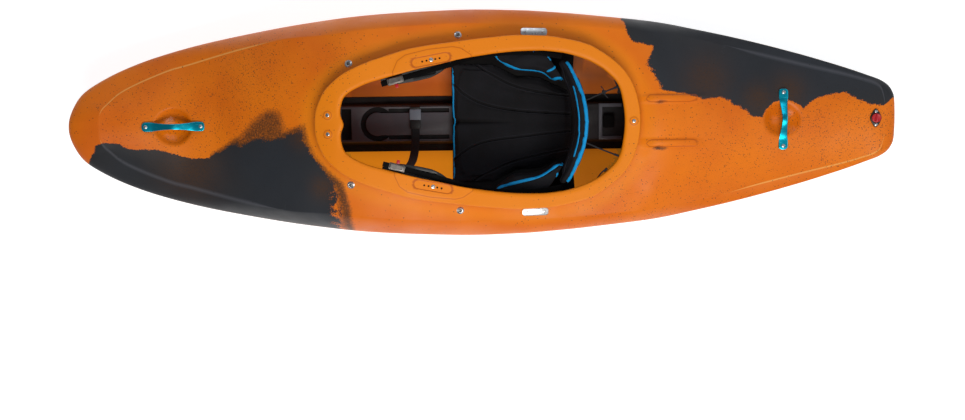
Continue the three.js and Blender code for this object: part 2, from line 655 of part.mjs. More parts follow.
// Thigh grips: slotted plates under the rim, each held by a bolt in one of five holes
const grip = {
  front: -290, rear: -96, shelfDrop: 8, thickness: 6, tuck: 22, depth: 34, reach: 39,
  slotLength: 58, slotBreadth: 18, slotMiddle: -172, slotInset: 22, boltMiddle: -150,
  boltInset: 16.5, recessLength: 112, recessBreadth: 28, recessDepth: 2, holePitch: 13.2,
  hole: 2.4, holeDepth: 8, heading: 0.185,
};
const gripReachShares = [
  [0, 0.08], [0.08, 0.34], [0.21, 0.62], [0.39, 0.86], [0.55, 1], [0.67, 1], [0.82, 0.8],
  [0.93, 0.42], [1, 0.1],
];
const gripReach = smoothCurve(gripReachShares);
const gripReachAt = (x) => grip.reach * gripReach((x - grip.front) / (grip.rear - grip.front));
const openingAt = (x) => breadthAt(openingLoop, x);
const underRimAt = (x) => lipTopAt(x) - rim.edgeDepth;
const shelfAt = (x) => underRimAt(x) - grip.shelfDrop;
const gripStationShares = [0, 0.08, 0.2, 0.32, 0.44, 0.56, 0.68, 0.8, 0.91, 1];
const boltDrills = [];
sides.forEach(({ name, sign }) => {
  const heading = new THREE.Vector3(Math.cos(grip.heading), sign * Math.sin(grip.heading), 0);
  const outboard = openingAt(grip.boltMiddle) + grip.boltInset;
  const seat = deckSeat(grip.boltMiddle, sign * outboard, heading);
  const recess = plate(
    grip.recessLength, grip.recessBreadth, grip.recessDepth + overrun, grip.recessBreadth / 2, 4,
    -grip.recessDepth,
  );
  hullDrills.push(toSolid(placed(recess, seat)));
  [-2, -1, 1, 2].forEach((step) => {
    hullDrills.push(drillTool(lifted(seat, step * grip.holePitch, 0, 0), grip.hole, grip.holeDepth));
  });
  const head = lifted(seat, 0, 0, fit - grip.recessDepth);
  boltDrills.push(fasten(`thigh_bolt_${name}`, head, gripBolt));
});
const gripStations = gripStationShares.map((share) => grip.front + share * (grip.rear - grip.front));
const gripForm = loft(gripStations.map((x) => {
  const edge = openingAt(x);
  const top = underRimAt(x);
  const inner = edge - gripReachAt(x);
  const shelf = shelfAt(x);
  const low = shelf - grip.thickness;
  return flat([
    [inner, low], [edge - grip.thickness, low - grip.thickness / 2],
    [edge + grip.thickness, top - grip.depth], [edge + grip.tuck - grip.thickness, top - grip.depth],
    [edge + grip.tuck, top + grip.thickness], [edge + fit, top + grip.thickness],
    [edge - fit, shelf + fit], [inner + fit, shelf],
  ]);
}), alongX(gripStations));
const gripSlot = (() => {
  const { slotLength, slotBreadth, slotMiddle, slotInset } = grip;
  const depth = grip.depth + overrun;
  const tool = plate(slotLength, slotBreadth, depth, slotBreadth / 2, 3, -depth / 2);
  const place = new THREE.Vector3(slotMiddle, openingAt(slotMiddle) - slotInset, shelfAt(slotMiddle));
  const ahead = new THREE.Vector3(Math.cos(grip.heading), Math.sin(grip.heading), 0);
  return placed(tool, seatFrom(place, ahead, upward));
})();
sides.forEach(({ name, sign }, i) => {
  const toSide = (geometry) => (sign > 0 ? geometry : flipSide(geometry));
  let solid = inRoom(toSolid(toSide(gripForm)));
  solid = solid.subtract(toSolid(toSide(gripSlot))).subtract(boltDrills[i]);
  add(`thigh_grip_${name}`, toGeometry(solid), blackPlastic);
});

// Ratchets on the grips' shelves: a channel for the ladder strap, a lever and a release tab
const ratchet = {
  middle: -250, inset: 14, length: 46, breadth: 19, height: 9, slotBreadth: 15, slotHeight: 3.4,
  slotLow: 2.2, leverLength: 40, leverBreadth: 16, leverHeight: 4, tabLength: 9, tabBreadth: 11,
  tabHeight: 3, lift: 0.8, corner: 4, leverCorner: 5, tabCorner: 2,
};
const ratchetSeats = sides.map(({ sign }) => {
  const spot = (x) => new THREE.Vector3(x, sign * (openingAt(x) - ratchet.inset), shelfAt(x));
  const front = spot(ratchet.middle - ratchet.length / 2);
  const rear = spot(ratchet.middle + ratchet.length / 2);
  const run = rear.clone().sub(front);
  const across = new THREE.Vector3(-run.y, run.x, 0);
  const normal = new THREE.Vector3().crossVectors(run, across).normalize();
  const middle = front.add(rear).divideScalar(2);
  return lifted(seatFrom(middle, run, normal), 0, 0, ratchet.lift);
});
sides.forEach(({ name, sign }, i) => {
  const seat = ratchetSeats[i];
  const half = ratchet.length / 2;
  const base = toSolid(plate(ratchet.length, ratchet.breadth, ratchet.height, ratchet.corner));
  const slotHigh = ratchet.slotLow + ratchet.slotHeight;
  const slot = toSolid(block(
    [-half - overrun, half + overrun], [-ratchet.slotBreadth / 2, ratchet.slotBreadth / 2],
    [ratchet.slotLow, slotHigh],
  ));
  add(`ratchet_base_${name}`, toGeometry(base.subtract(slot)), steel, seat);
  const { leverLength, leverBreadth, leverHeight, leverCorner } = ratchet;
  const lever = plate(leverLength, leverBreadth, leverHeight, leverCorner);
  add(`ratchet_lever_${name}`, lever, steel, lifted(seat, 0, 0, ratchet.height + fit));
  const tab = plate(ratchet.tabLength, ratchet.tabBreadth, ratchet.tabHeight, ratchet.tabCorner);
  const inboard = -sign * (ratchet.breadth / 2 + fit + ratchet.tabBreadth / 2);
  add(`ratchet_release_${name}`, tab, redPlastic, lifted(seat, 0, inboard, ratchet.height / 2));
});

// Centre beam: a moulded channel along the floor, with a keyhole groove and a tray in its top
const beam = {
  ahead: 83, behind: 20, top: 50, half: 57.5, flange: 84, flangeHeight: 4, wall: 9, skinTop: 14,
  chamfer: 5, foot: 10, ringMiddle: -331, ringOuter: 52, ringInner: 36, groove: 8, neck: 34,
  channel: 13, channelRear: -112, trayFront: -441, trayRear: -411, tray: 47,
};
beam.front = rim.front - beam.ahead;
beam.rear = rim.rear + beam.behind;
const beamStationShares = [0, 0.08, 0.18, 0.3, 0.45, 0.65, 0.8, 0.9, 1];
const ringSides = 28;
const floorAt = (x) => keelAt(x) + hullWall;
{
  const stations = beamStationShares.map((share) => beam.front + share * (beam.rear - beam.front));
  const hollow = beam.half - beam.wall;
  const form = loft(stations.map((x) => {
    const low = floorAt(x) - beam.foot;
    const edge = floorAt(x) + beam.flangeHeight;
    const roof = Math.max(beam.top - beam.skinTop, edge);
    const side = beam.top - beam.chamfer;
    return flat([
      [-beam.flange, low], [-hollow, low], [-hollow, roof], [hollow, roof], [hollow, low],
      [beam.flange, low], [beam.flange, edge], [beam.half + beam.chamfer, edge], [beam.half, side],
      [beam.half - beam.chamfer, beam.top], [-beam.half + beam.chamfer, beam.top],
      [-beam.half, side], [-beam.half - beam.chamfer, edge], [-beam.flange, edge],
    ]);
  }), alongX(stations));
  const low = beam.top - beam.groove;
  const high = beam.top + overrun;
  const grooveRing = turned([
    [beam.ringInner, low], [beam.ringOuter, low], [beam.ringOuter, high], [beam.ringInner, high],
    [beam.ringInner, low],
  ], ringSides);
  grooveRing.translate(beam.ringMiddle, 0, 0);
  const neckBlock = block([beam.ringMiddle, beam.channelRear], [-beam.neck, beam.neck],
    [low - overrun, high + overrun]);
  let groove = toSolid(grooveRing).subtract(toSolid(neckBlock));
  sides.forEach(({ sign }) => {
    const band = [beam.neck, beam.neck + beam.channel].map((y) => sign * y).sort((a, b) => a - b);
    const run = [beam.ringMiddle + beam.neck, beam.channelRear];
    groove = groove.add(toSolid(block(run, band, [low, high])));
  });
  const tray = block([beam.trayFront, beam.trayRear], [-beam.tray, beam.tray], [low, high]);
  const solid = inRoom(toSolid(form)).subtract(groove).subtract(toSolid(tray));
  add('centre_beam', toGeometry(solid), blackPlastic);
}

// Frame and clip on the beam behind the backband
const beamFrame = {
  fromRear: 41, length: 70, half: 55, bar: 11, height: 4, clipFromRear: 66,
  clipHalf: 19, clipHeight: 20, clipCorner: 5, gap: 0.8,
};
beamFrame.rear = beam.rear - beamFrame.fromRear;
beamFrame.front = beamFrame.rear - beamFrame.length;
{
  const low = beam.top + fit;
  const outer = block([beamFrame.front, beamFrame.rear], [-beamFrame.half, beamFrame.half],
    [low, low + beamFrame.height]);
  const innerHalf = beamFrame.half - beamFrame.bar;
  const inner = block([beamFrame.front + beamFrame.bar, beamFrame.rear + overrun],
    [-innerHalf, innerHalf], [low - overrun, low + overrun]);
  add('beam_frame', toGeometry(toSolid(outer).subtract(toSolid(inner))), greyPlastic);
  const front = beamFrame.front + beamFrame.bar + beamFrame.gap;
  const length = beam.rear - beamFrame.clipFromRear - front;
  const clip = plate(length, beamFrame.clipHalf * 2, beamFrame.clipHeight, beamFrame.clipCorner);
  const place = new THREE.Vector3(front + length / 2, 0, low);
  add('beam_clip', clip, blackPlastic, seatFrom(place, sternward, upward));
}

// Foam pillars that hold the deck off the floor at both ends
const pillar = { bowHalf: 22, sternGap: 35, sternHalf: 28 };
const pillarOf = (x, half) => {
  const blank = inRoom(toSolid(block(x, [-half, half], [-overrun, rimHeight])));
  return toGeometry(hullDrills.reduce((solid, drill) => solid.subtract(drill), blank));
};
add('bow_pillar', pillarOf(
  [fromBow.pillarFront - halfLength, fromBow.pillarRear - halfLength], pillar.bowHalf,
), greyFoam);
add('stern_pillar', pillarOf(
  [rim.rear + pillar.sternGap, halfLength - fromStern.pillar], pillar.sternHalf,
), greyFoam);

// Footrest: two rails hung from the deck, and a plate with a foam pad that slides on them
const footrest = {
  railShort: 7, railInboard: 3, railWidth: 5, railLow: 164, railHigh: 186, hangerLength: 34,
  frontHanger: 24, footFront: 17, footRear: 11, footHalf: 9, footDepth: 5, plateThickness: 6,
  foam: 25, foamInset: 8, slotGap: 0.7, foamInside: 15,
};
footrest.railFront = fromBow.railFront - halfLength;
footrest.railRear = railScrew.middle - footrest.railShort;
footrest.railSide = railSeats[0].position.y - footrest.railInboard;
footrest.plateFront = fromBow.footrest - halfLength;
const footrestPlan = {
  lowInside: 45, low: 78, sideOutside: 21, sideLow: 118, sideHigh: 200, highInside: 47, high: 212,
};
footrestPlan.lowHalf = footrest.railSide - footrestPlan.lowInside;
footrestPlan.sideHalf = footrest.railSide + footrestPlan.sideOutside;
footrestPlan.highHalf = footrest.railSide - footrestPlan.highInside;
sides.forEach(({ name, sign }, i) => {
  const { railSide, railWidth, railLow, railHigh, railFront, railRear } = footrest;
  const band = [railSide - railWidth / 2, railSide + railWidth / 2].map((y) => sign * y);
  band.sort((a, b) => a - b);
  let rail = toSolid(block([railFront, railRear], band, [railLow, railHigh]));
  rail = rail.add(toSolid(block([railRear - footrest.hangerLength, railRear], band,
    [railLow, rimHeight])));
  rail = rail.add(toSolid(block([railFront, railFront + footrest.frontHanger], band,
    [railLow, rimHeight])));
  rail = rail.add(toSolid(placed(block(
    [-footrest.footFront, footrest.footRear], [-footrest.footHalf, footrest.footHalf],
    [-hullWall - footrest.footDepth, 0],
  ), railSeats[i])));
  rail = inRoom(rail).subtract(railDrills[i]);
  add(`footrest_rail_${name}`, toGeometry(rail), steel);
});
{
  const plan = footrestPlan;
  const outline = (cut) => flat([
    [-plan.lowHalf, plan.low + cut], [plan.lowHalf, plan.low + cut],
    [plan.sideHalf - cut, plan.sideLow], [plan.sideHalf - cut, plan.sideHigh - cut],
    [plan.highHalf, plan.high - cut], [-plan.highHalf, plan.high - cut],
    [-plan.sideHalf + cut, plan.sideHigh - cut], [-plan.sideHalf + cut, plan.sideLow],
  ]);
  const rear = footrest.plateFront + footrest.plateThickness;
  let board = toSolid(loft([outline(0), outline(0)], alongX([footrest.plateFront, rear])));
  sides.forEach(({ sign }) => {
    const half = footrest.railWidth / 2 + footrest.slotGap;
    const band = [sign * footrest.railSide - half, sign * footrest.railSide + half];
    board = board.subtract(toSolid(block([footrest.plateFront - overrun, rear + overrun], band,
      [footrest.railLow - footrest.slotGap, footrest.railHigh + footrest.slotGap])));
  });
  add('footrest_plate', toGeometry(board), blackPlastic);
  const pad = toSolid(loft(
    [outline(footrest.foamInset), outline(footrest.foamInset)],
    alongX([rear + fit, rear + fit + footrest.foam]),
  ));
  const foamHalf = footrest.railSide - footrest.foamInside;
  const window = toSolid(block([rear - overrun, rear + footrest.foam + overrun],
    [-foamHalf, foamHalf], [0, rimHeight]));
  add('footrest_foam', toGeometry(pad.intersect(window)), greyFoam);
}

// Seat pan: a moulded shell on the beam, dished across and lifted at its front
const seat = {
  front: -102, rear: 264, outside: 4.2, wall: 4, sideRise: 70, frontRise: 26, padInside: 27.7,
  padThick: 19, padEdge: 7, channel: 4.5, channelHalf: 5.5, edgeRun: 9,
};
seat.half = rim.openingBreadth / 2 + seat.outside;
seat.padHalf = seat.half - seat.padInside;
// How the pan rises across it and towards its front, straight between these pairs of shares
const panAcrossShares = [
  [0, 0], [0.28, 0], [0.44, 0.05], [0.6, 0.18], [0.74, 0.38], [0.88, 0.68], [1, 1],
];
const panAlongShares = [[0, 1], [0.07, 0.62], [0.16, 0.28], [0.26, 0.08], [0.36, 0], [1, 0]];
function straight(shares, share) {
  let i = 0;
  while (i < shares.length - 2 && share > shares[i + 1][0]) i += 1;
  const [low, high] = [shares[i], shares[i + 1]];
  return low[1] + ((high[1] - low[1]) * (share - low[0])) / (high[0] - low[0]);
}
function panAt(x, y) {
  const along = THREE.MathUtils.clamp((x - seat.front) / (seat.rear - seat.front), 0, 1);
  const base = beam.top + fit + seat.wall;
  const across = seat.sideRise * straight(panAcrossShares, Math.abs(y) / seat.half);
  return base + across + seat.frontRise * straight(panAlongShares, along);
}
{
  const stations = panAlongShares.map(([share]) => seat.front + share * (seat.rear - seat.front));
  const half = panAcrossShares.slice(1).map(([share]) => share);
  const shares = [...half.map((share) => -share).reverse(), ...half];
  const form = loft(stations.map((x) => {
    const under = shares.map((share) => [share * seat.half, panAt(x, share * seat.half) - seat.wall]);
    const over = shares.map((share) => [share * seat.half, panAt(x, share * seat.half)]).reverse();
    return flat([...under, ...over]);
  }), alongX(stations));
  add('seat_pan', form, blackPlastic);
}

// Seat side plates: from the pan's edges up to the deck, each with a tab under its deck screw
const sidePlate = {
  inner: seat.half + fit, thickness: 4, front: 10, rear: 240, low: 96, high: 300, neckLow: 232,
  tabFront: -96, tabHalf: 19, tabDepth: 11, tabReach: 47, tabOut: 13, shoulderLow: 262,
};
sides.forEach(({ name, sign }, i) => {
  const outline = flat([
    [sidePlate.low, sidePlate.front], [sidePlate.low, sidePlate.rear],
    [sidePlate.high, sidePlate.rear], [rimHeight, sidePlate.front], [rimHeight, sidePlate.tabFront],
    [sidePlate.shoulderLow, sidePlate.tabFront], [sidePlate.neckLow, sidePlate.front],
  ]).reverse();
  const stations = [sidePlate.inner, sidePlate.inner + sidePlate.thickness].map((y) => sign * y);
  stations.sort((a, b) => a - b);
  const wallForm = loft([outline, outline], alongY(stations));
  const tabBand = [-sign * sidePlate.tabReach, sign * sidePlate.tabOut].sort((a, b) => a - b);
  const tab = block([-sidePlate.tabHalf, sidePlate.tabHalf], tabBand,
    [-hullWall - sidePlate.tabDepth, 0]);
  let solid = toSolid(wallForm).add(toSolid(placed(tab, seatSeats[i])));
  solid = inRoom(solid).subtract(seatDrills[i]);
  add(`seat_side_${name}`, toGeometry(solid), blackPlastic);
});

// Backband: a curved padded band behind the seat, with a stiff plate at its back
const band = {
  rear: 285, depth: 57, sideGap: 29.7, thick: 27, top: 345, endTop: 272, low: 152, endLow: 214,
  plateHalfShare: 0.705, plateThick: 3, plateLow: 196, plateHigh: 306,
};
band.half = seat.half - band.sideGap;
band.plateHalf = band.half * band.plateHalfShare;
const bandStationShares = [-1, -0.93, -0.8, -0.6, -0.4, -0.2, 0, 0.2, 0.4, 0.6, 0.8, 0.93, 1];
const plateStationShares = [-1, -0.8, -0.6, -0.4, -0.2, 0, 0.2, 0.4, 0.6, 0.8, 1];
const bandRearAt = (y) => band.rear - band.depth * (y / band.half) ** 2;
const bandTopAt = (y) => band.top - (band.top - band.endTop) * Math.abs(y / band.half) ** 2.2;
const bandLowAt = (y) => band.low + (band.endLow - band.low) * (y / band.half) ** 2;
const bandFrontShare = 1.18;
const bandBackShare = 0.04;
const bandBackAt = (y) => bandRearAt(y) + band.thick * bandBackShare;
const bandOutlineShares = [
  [0, 0.04], [0.35, 0], [0.8, 0.02], [1, 0.1], [1.12, 0.3], [bandFrontShare, 0.5], [1.12, 0.72],
  [1, 0.9], [0.8, 0.98], [0.35, 1], [0, 0.95], [-bandBackShare, 0.5],
];
const bandEndShares = [
  [0.3, 0.1], [0.4, 0.06], [0.6, 0.06], [0.7, 0.1], [0.74, 0.3], [0.76, 0.5], [0.74, 0.72],
  [0.7, 0.9], [0.6, 0.94], [0.4, 0.94], [0.3, 0.9], [0.28, 0.5],
];
{
  const stations = bandStationShares.map((share) => share * band.half);
  const outlines = stations.map((y, i) => {
    const isEnd = i === 0 || i === stations.length - 1;
    const low = bandLowAt(y);
    const high = bandTopAt(y);
    return flat((isEnd ? bandEndShares : bandOutlineShares).map(([depth, rise]) => [
      low + (high - low) * rise, bandRearAt(y) - band.thick * depth,
    ]));
  });
  add('backband', loft(outlines, alongY(stations)), blackFabric);
  const plateStations = plateStationShares.map((share) => share * band.plateHalf);
  const plateOutlines = plateStations.map((y) => {
    const front = bandBackAt(y) + 2 * fit;
    return flat([
      [band.plateLow, front], [band.plateHigh, front],
      [band.plateHigh, front + band.plateThick], [band.plateLow, front + band.plateThick],
    ]);
  });
  add('backband_plate', loft(plateOutlines, alongY(plateStations)), blackPlastic);
}

// Hip pads: soft blocks between the side plates and the sitter, swept in to the backband
const hip = {
  front: 16, rear: 226, thinnest: 5.7, low: 3, top: 250, crown: 8, tuckIn: 10, backGap: 4,
};
const hipInnerShares = [
  [0, 1], [0.13, 0.89], [0.32, 0.765], [0.58, 0.75], [0.76, 0.7], [0.89, 0.61], [1, 0.56],
];
const hipInner = smoothCurve(hipInnerShares);
const hipInnerAt = (x) =>
  (seat.half - hip.thinnest) * hipInner((x - hip.front) / (hip.rear - hip.front));
const hipOuterAt = (x) => {
  const depth = (band.rear - band.thick * bandFrontShare - hip.backGap - x) / band.depth;
  const reach = band.half * Math.sqrt(Math.max(depth, 0));
  return Math.min(sidePlate.inner - fit, Math.max(reach, hipInnerAt(x) + hip.crown));
};
const hipStationShares = [0, 0.05, 0.14, 0.3, 0.46, 0.62, 0.76, 0.88, 1];
{
  const stations = hipStationShares.map((share) => hip.front + share * (hip.rear - hip.front));
  const outlines = stations.map((x, i) => {
    const isEnd = i === 0 || i === stations.length - 1;
    const outer = hipOuterAt(x) - (isEnd ? fit : 0);
    const wide = outer - hipInnerAt(x);
    const inner = hipInnerAt(x) + (isEnd ? wide / 4 : 0);
    const bow = Math.min(hip.crown, wide / 3);
    const tuck = Math.min(hip.tuckIn, wide / 3);
    const low = panAt(x, outer) + hip.low;
    const lowIn = panAt(x, inner + tuck) + hip.low;
    const high = hip.top;
    const mid = (lowIn + high) / 2;
    return flat([
      [inner + tuck, lowIn], [outer, low], [outer, high - bow], [outer - bow, high],
      [inner + tuck, high], [inner + bow / 2, high - tuck], [inner, mid + tuck],
      [inner, mid - tuck], [inner + bow / 2, lowIn + tuck],
    ]);
  });
  const form = loft(outlines, alongX(stations));
  sides.forEach(({ name, sign }) => {
    add(`hip_pad_${name}`, sign > 0 ? form : flipSide(form), blackFabric);
  });
}

// Seat pad: a crowned cushion on the pan with two sewn channels each side
const outerChannelShares = [[0, 0.94], [0.14, 0.88], [0.29, 0.72], [0.5, 0.57], [0.7, 0.5], [1, 0.44]];
const innerChannelShares = [[0, 0.62], [0.12, 0.42], [0.29, 0.28], [0.52, 0.22], [0.77, 0.17], [1, 0.14]];
const padEdgeShares = [[0, 1], [0.3, 1], [0.36, 0.98], [0.43, 0.9], [0.52, 0.81], [0.66, 0.79],
  [0.76, 0.75], [0.84, 0.66], [0.92, 0.56], [1, 0.54]];
const padStationShares = [0, 0.03, 0.08, 0.16, 0.25, 0.34, 0.43, 0.52, 0.62, 0.73, 0.85, 0.95, 1];
{
  const outerChannel = smoothCurve(outerChannelShares);
  const innerChannel = smoothCurve(innerChannelShares);
  const padEdge = smoothCurve(padEdgeShares);
  const stations = padStationShares.map((share) =>
    seat.front + share * (seat.rear - seat.front));
  const outlines = stations.map((x, i) => {
    const t = padStationShares[i];
    const edge = seat.padHalf * padEdge(t);
    const outer = Math.min(seat.padHalf * outerChannel(t), edge - 2 * seat.edgeRun - seat.channelHalf);
    const inner = seat.padHalf * innerChannel(t);
    const isEnd = i === 0 || i === stations.length - 1;
    const full = isEnd ? seat.padEdge : seat.padThick;
    const lines = [
      [0, full - (isEnd ? 0 : seat.channel / 2)], [inner - seat.channelHalf, full],
      [inner, full - (isEnd ? 0 : seat.channel)], [inner + seat.channelHalf, full],
      [(inner + outer) / 2, full], [outer - seat.channelHalf, full],
      [outer, full - (isEnd ? 0 : seat.channel)], [outer + seat.channelHalf, full],
      [edge - seat.edgeRun, full - (isEnd ? 0 : seat.channel / 2)], [edge, seat.padEdge],
    ];
    const over = lines.map(([y, rise]) => [y, panAt(x, y) + fit + rise]);
    const under = lines.map(([y]) => [y, panAt(x, y) + 2 * fit]);
    const mirrored = (pairs) => pairs.slice(1).map(([y, z]) => [-y, z]).reverse();
    return flat([...mirrored(under), ...under, ...[...mirrored(over), ...over].reverse()]);
  });
  add('seat_pad', loft(outlines, alongX(stations)), blackFabric);
}

// Ladder straps: from the backband's ends along the rim to the ratchets and through them
const ladder = { breadth: 14, thickness: 2.4, tail: 40, rear: 218, inset: 15, drop: 42 };
// Along from the grip's rear to the strap's, in from the opening's edge and down from the rim
const ladderStopShares = [
  [-0.172, 0.93, 0.12], [0, 0.93, 0.143], [0.146, 1, 0.571], [0.338, 1, 0.905],
  [0.56, 0.93, 1], [0.783, 0.867, 0.905], [1, 0.6, 0.81],
];
sides.forEach(({ name, sign }, i) => {
  const seatOf = ratchetSeats[i];
  const level = ratchet.slotLow + ratchet.slotHeight / 2;
  const across = new THREE.Vector3(0, 1, 0).applyQuaternion(seatOf.quaternion);
  const above = upward.clone().applyQuaternion(seatOf.quaternion);
  const stops = [-ladder.tail, ratchet.length / 2 + ladder.thickness].map((x) => ({
    middle: lifted(seatOf, x, 0, level).position, across, above,
  }));
  ladderStopShares.forEach(([along, inward, down]) => {
    const x = grip.rear + along * (ladder.rear - grip.rear);
    const outboard = Math.min(openingAt(x) - inward * ladder.inset, band.half + ladder.breadth);
    stops.push({
      middle: new THREE.Vector3(x, sign * outboard, underRimAt(x) - down * ladder.drop),
      across: new THREE.Vector3(0, 1, 0), above: upward,
    });
  });
  const outline = flat([[-1, -1], [1, -1], [1, 1], [-1, 1]].map(([u, v]) =>
    [(u * ladder.breadth) / 2, (v * ladder.thickness) / 2]));
  const form = loft(stops.map(() => outline), (point, at) => stops[at].middle.clone()
    .addScaledVector(stops[at].across, point.x).addScaledVector(stops[at].above, point.y));
  add(`ladder_strap_${name}`, form, blackPlastic);
});

// Elastic cords that hold the backband to the rear of the opening
const cord = {
  radius: 2.5, side: 62, frontHeight: 252, turn: 2.85, rimDrop: 9, gap: 0.7, sag: 14, lead: 7,
};
const cordSteps = 12;
const cordArcs = 4;
sides.forEach(({ name, sign }) => {
  const back = bandBackAt(cord.side) + 3 * fit + band.plateThick + cord.gap;
  const end = onLoop(inset(openingLoop, cord.gap), cord.turn);
  const start = new THREE.Vector3(back, sign * cord.side, cord.frontHeight);
  const leadOut = start.clone().setX(back + cord.lead);
  const atRim = new THREE.Vector3(end.x, sign * end.y, lipTopAt(end.x) - cord.rimDrop);
  const lowest = start.clone().lerp(atRim, 0.5);
  lowest.z -= cord.sag;
  const path = new THREE.CatmullRomCurve3([start, leadOut, lowest, atRim]);
  const circle = new THREE.Shape();
  circle.absarc(0, 0, cord.radius, 0, 2 * Math.PI, false);
  const form = new THREE.ExtrudeGeometry(circle, {
    steps: cordSteps, curveSegments: cordArcs, extrudePath: path, bevelEnabled: false,
  });
  add(`back_cord_${name}`, toGeometry(inRoom(toSolid(form))), webbing);
});

// Bottle strap: an anchor and a side-release buckle on the beam, and webbing up to the right grip
const bottle = {
  middle: -215, anchorNear: 44, anchorFar: 57, anchorHalf: 15, anchorHeight: 8, socketLength: 32,
  socketHalf: 17, socketHeight: 10, socketWall: 2.4, clipLength: 26, tongue: 24, tongueHalf: 12.5,
  clipHalf: 16, webHalf: 12.5, webThick: 1.8,
};
// Out from the buckle to the grip's edge and up from the beam to the grip
const webStopShares = [
  [0, 0.016], [0.144, 0.019], [0.349, 0.045], [0.595, 0.14], [0.8, 0.35], [0.945, 0.64], [1, 1],
];
{
  const low = beam.top + fit;
  const half = bottle.anchorHalf;
  const x = [bottle.middle - half, bottle.middle + half];
  add('strap_anchor', block(x, [bottle.anchorNear, bottle.anchorFar - beam.chamfer],
    [low, low + bottle.anchorHeight]), blackPlastic);
  const socketFar = bottle.anchorNear - fit;
  const socketNear = socketFar - bottle.socketLength;
  const wide = [bottle.middle - bottle.socketHalf, bottle.middle + bottle.socketHalf];
  const socket = toSolid(block(wide, [socketNear, socketFar], [low, low + bottle.socketHeight]));
  const pocketHalf = bottle.socketHalf - bottle.socketWall;
  const pocket = toSolid(block(
    [bottle.middle - pocketHalf, bottle.middle + pocketHalf],
    [socketNear - overrun, socketFar - bottle.socketWall],
    [low + bottle.socketWall, low + bottle.socketHeight - bottle.socketWall],
  ));
  add('buckle_socket', toGeometry(socket.subtract(pocket)), greyPlastic);
  const clipFar = socketNear - fit;
  const clipNear = clipFar - bottle.clipLength;
  const clipWide = [bottle.middle - bottle.clipHalf, bottle.middle + bottle.clipHalf];
  const clipBody = toSolid(block(clipWide, [clipNear, clipFar], [low, low + bottle.socketHeight]));
  const tongueWide = [bottle.middle - bottle.tongueHalf, bottle.middle + bottle.tongueHalf];
  const tongue = toSolid(block(tongueWide, [clipFar - bottle.socketWall, clipFar + bottle.tongue],
    [low + bottle.socketWall + fit, low + bottle.socketHeight - bottle.socketWall - fit]));
  add('buckle_clip', toGeometry(clipBody.add(tongue)), greyPlastic);

  const gripEdge = openingAt(bottle.middle) - gripReachAt(bottle.middle);
  const gripLow = shelfAt(bottle.middle + bottle.webHalf) - grip.thickness;
  const start = new THREE.Vector2(clipNear - fit, low);
  const run = new THREE.Vector2(-gripEdge - bottle.webThick, gripLow - 2 * fit).sub(start);
  const points = webStopShares.map(([out, rise]) =>
    new THREE.Vector2(start.x + out * run.x, start.y + rise * run.y));
  const sections = points.map((point, i) => {
    const before = points[Math.max(i - 1, 0)];
    const after = points[Math.min(i + 1, points.length - 1)];
    const course = after.clone().sub(before).normalize();
    const flatEnd = i === points.length - 1 ? new THREE.Vector2(0, 1) : course;
    const offset = new THREE.Vector2(flatEnd.y, -flatEnd.x).multiplyScalar(bottle.webThick / 2);
    return { point, offset };
  });
  const corners = flat([[-1, -1], [1, -1], [1, 1], [-1, 1]]);
  const web = loft(sections.map(() => corners), (corner, i) => {
    const { point, offset } = sections[i];
    const side = corner.y;
    return new THREE.Vector3(bottle.middle + corner.x * bottle.webHalf,
      point.x + side * offset.x, point.y + side * offset.y);
  });
  add('bottle_strap', web, webbing);
}

// The hull shell, with the holes for everything that passes through it
let hullSolid = outerForm.subtract(insideForm(hullWall));
hullDrills.forEach((drill) => {
  hullSolid = hullSolid.subtract(drill);
});
add('hull_shell', toGeometry(hullSolid), orangeShell);

export default group;
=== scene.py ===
import math

import bmesh
import bpy
import numpy as np
from mathutils import Matrix, Vector
from mathutils.bvhtree import BVHTree


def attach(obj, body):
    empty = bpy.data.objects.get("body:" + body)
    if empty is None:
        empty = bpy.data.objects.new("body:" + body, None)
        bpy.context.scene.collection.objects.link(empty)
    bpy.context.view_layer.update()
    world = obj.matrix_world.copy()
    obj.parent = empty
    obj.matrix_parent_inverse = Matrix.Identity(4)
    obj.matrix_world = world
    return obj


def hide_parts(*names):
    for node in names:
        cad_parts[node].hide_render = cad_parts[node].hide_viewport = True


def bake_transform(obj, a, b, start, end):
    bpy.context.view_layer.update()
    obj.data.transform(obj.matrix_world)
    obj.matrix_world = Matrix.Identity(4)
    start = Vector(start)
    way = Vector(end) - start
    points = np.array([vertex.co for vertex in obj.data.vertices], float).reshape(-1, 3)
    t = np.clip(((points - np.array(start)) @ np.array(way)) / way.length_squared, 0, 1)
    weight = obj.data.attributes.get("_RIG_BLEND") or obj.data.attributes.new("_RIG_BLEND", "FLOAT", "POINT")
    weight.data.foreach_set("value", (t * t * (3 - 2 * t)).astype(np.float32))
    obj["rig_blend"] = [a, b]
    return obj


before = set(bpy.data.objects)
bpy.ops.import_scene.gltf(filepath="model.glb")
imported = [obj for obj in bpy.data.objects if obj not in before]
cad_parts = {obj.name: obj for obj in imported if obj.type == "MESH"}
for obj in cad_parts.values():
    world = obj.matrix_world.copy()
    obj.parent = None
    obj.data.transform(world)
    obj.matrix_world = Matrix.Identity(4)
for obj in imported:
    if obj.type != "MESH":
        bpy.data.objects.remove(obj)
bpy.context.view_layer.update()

# Sizes are in millimetres, as in the part's own drawing, and go to Blender in metres
mm = 0.001
scene = bpy.context.scene
sides = (("left", 1), ("right", -1))


# Camera straight above the boat, lights, and a pale floor

view = {
    "height": 3530, "alongBoat": -14, "lens": 42.4, "sensor": 36.0,
    "tiltDegrees": -4.38, "rollDegrees": -0.73, "fence": (0.05, 60.0),
}


def addObject(name, data):
    made = bpy.data.objects.new(name, data)
    scene.collection.objects.link(made)
    return made


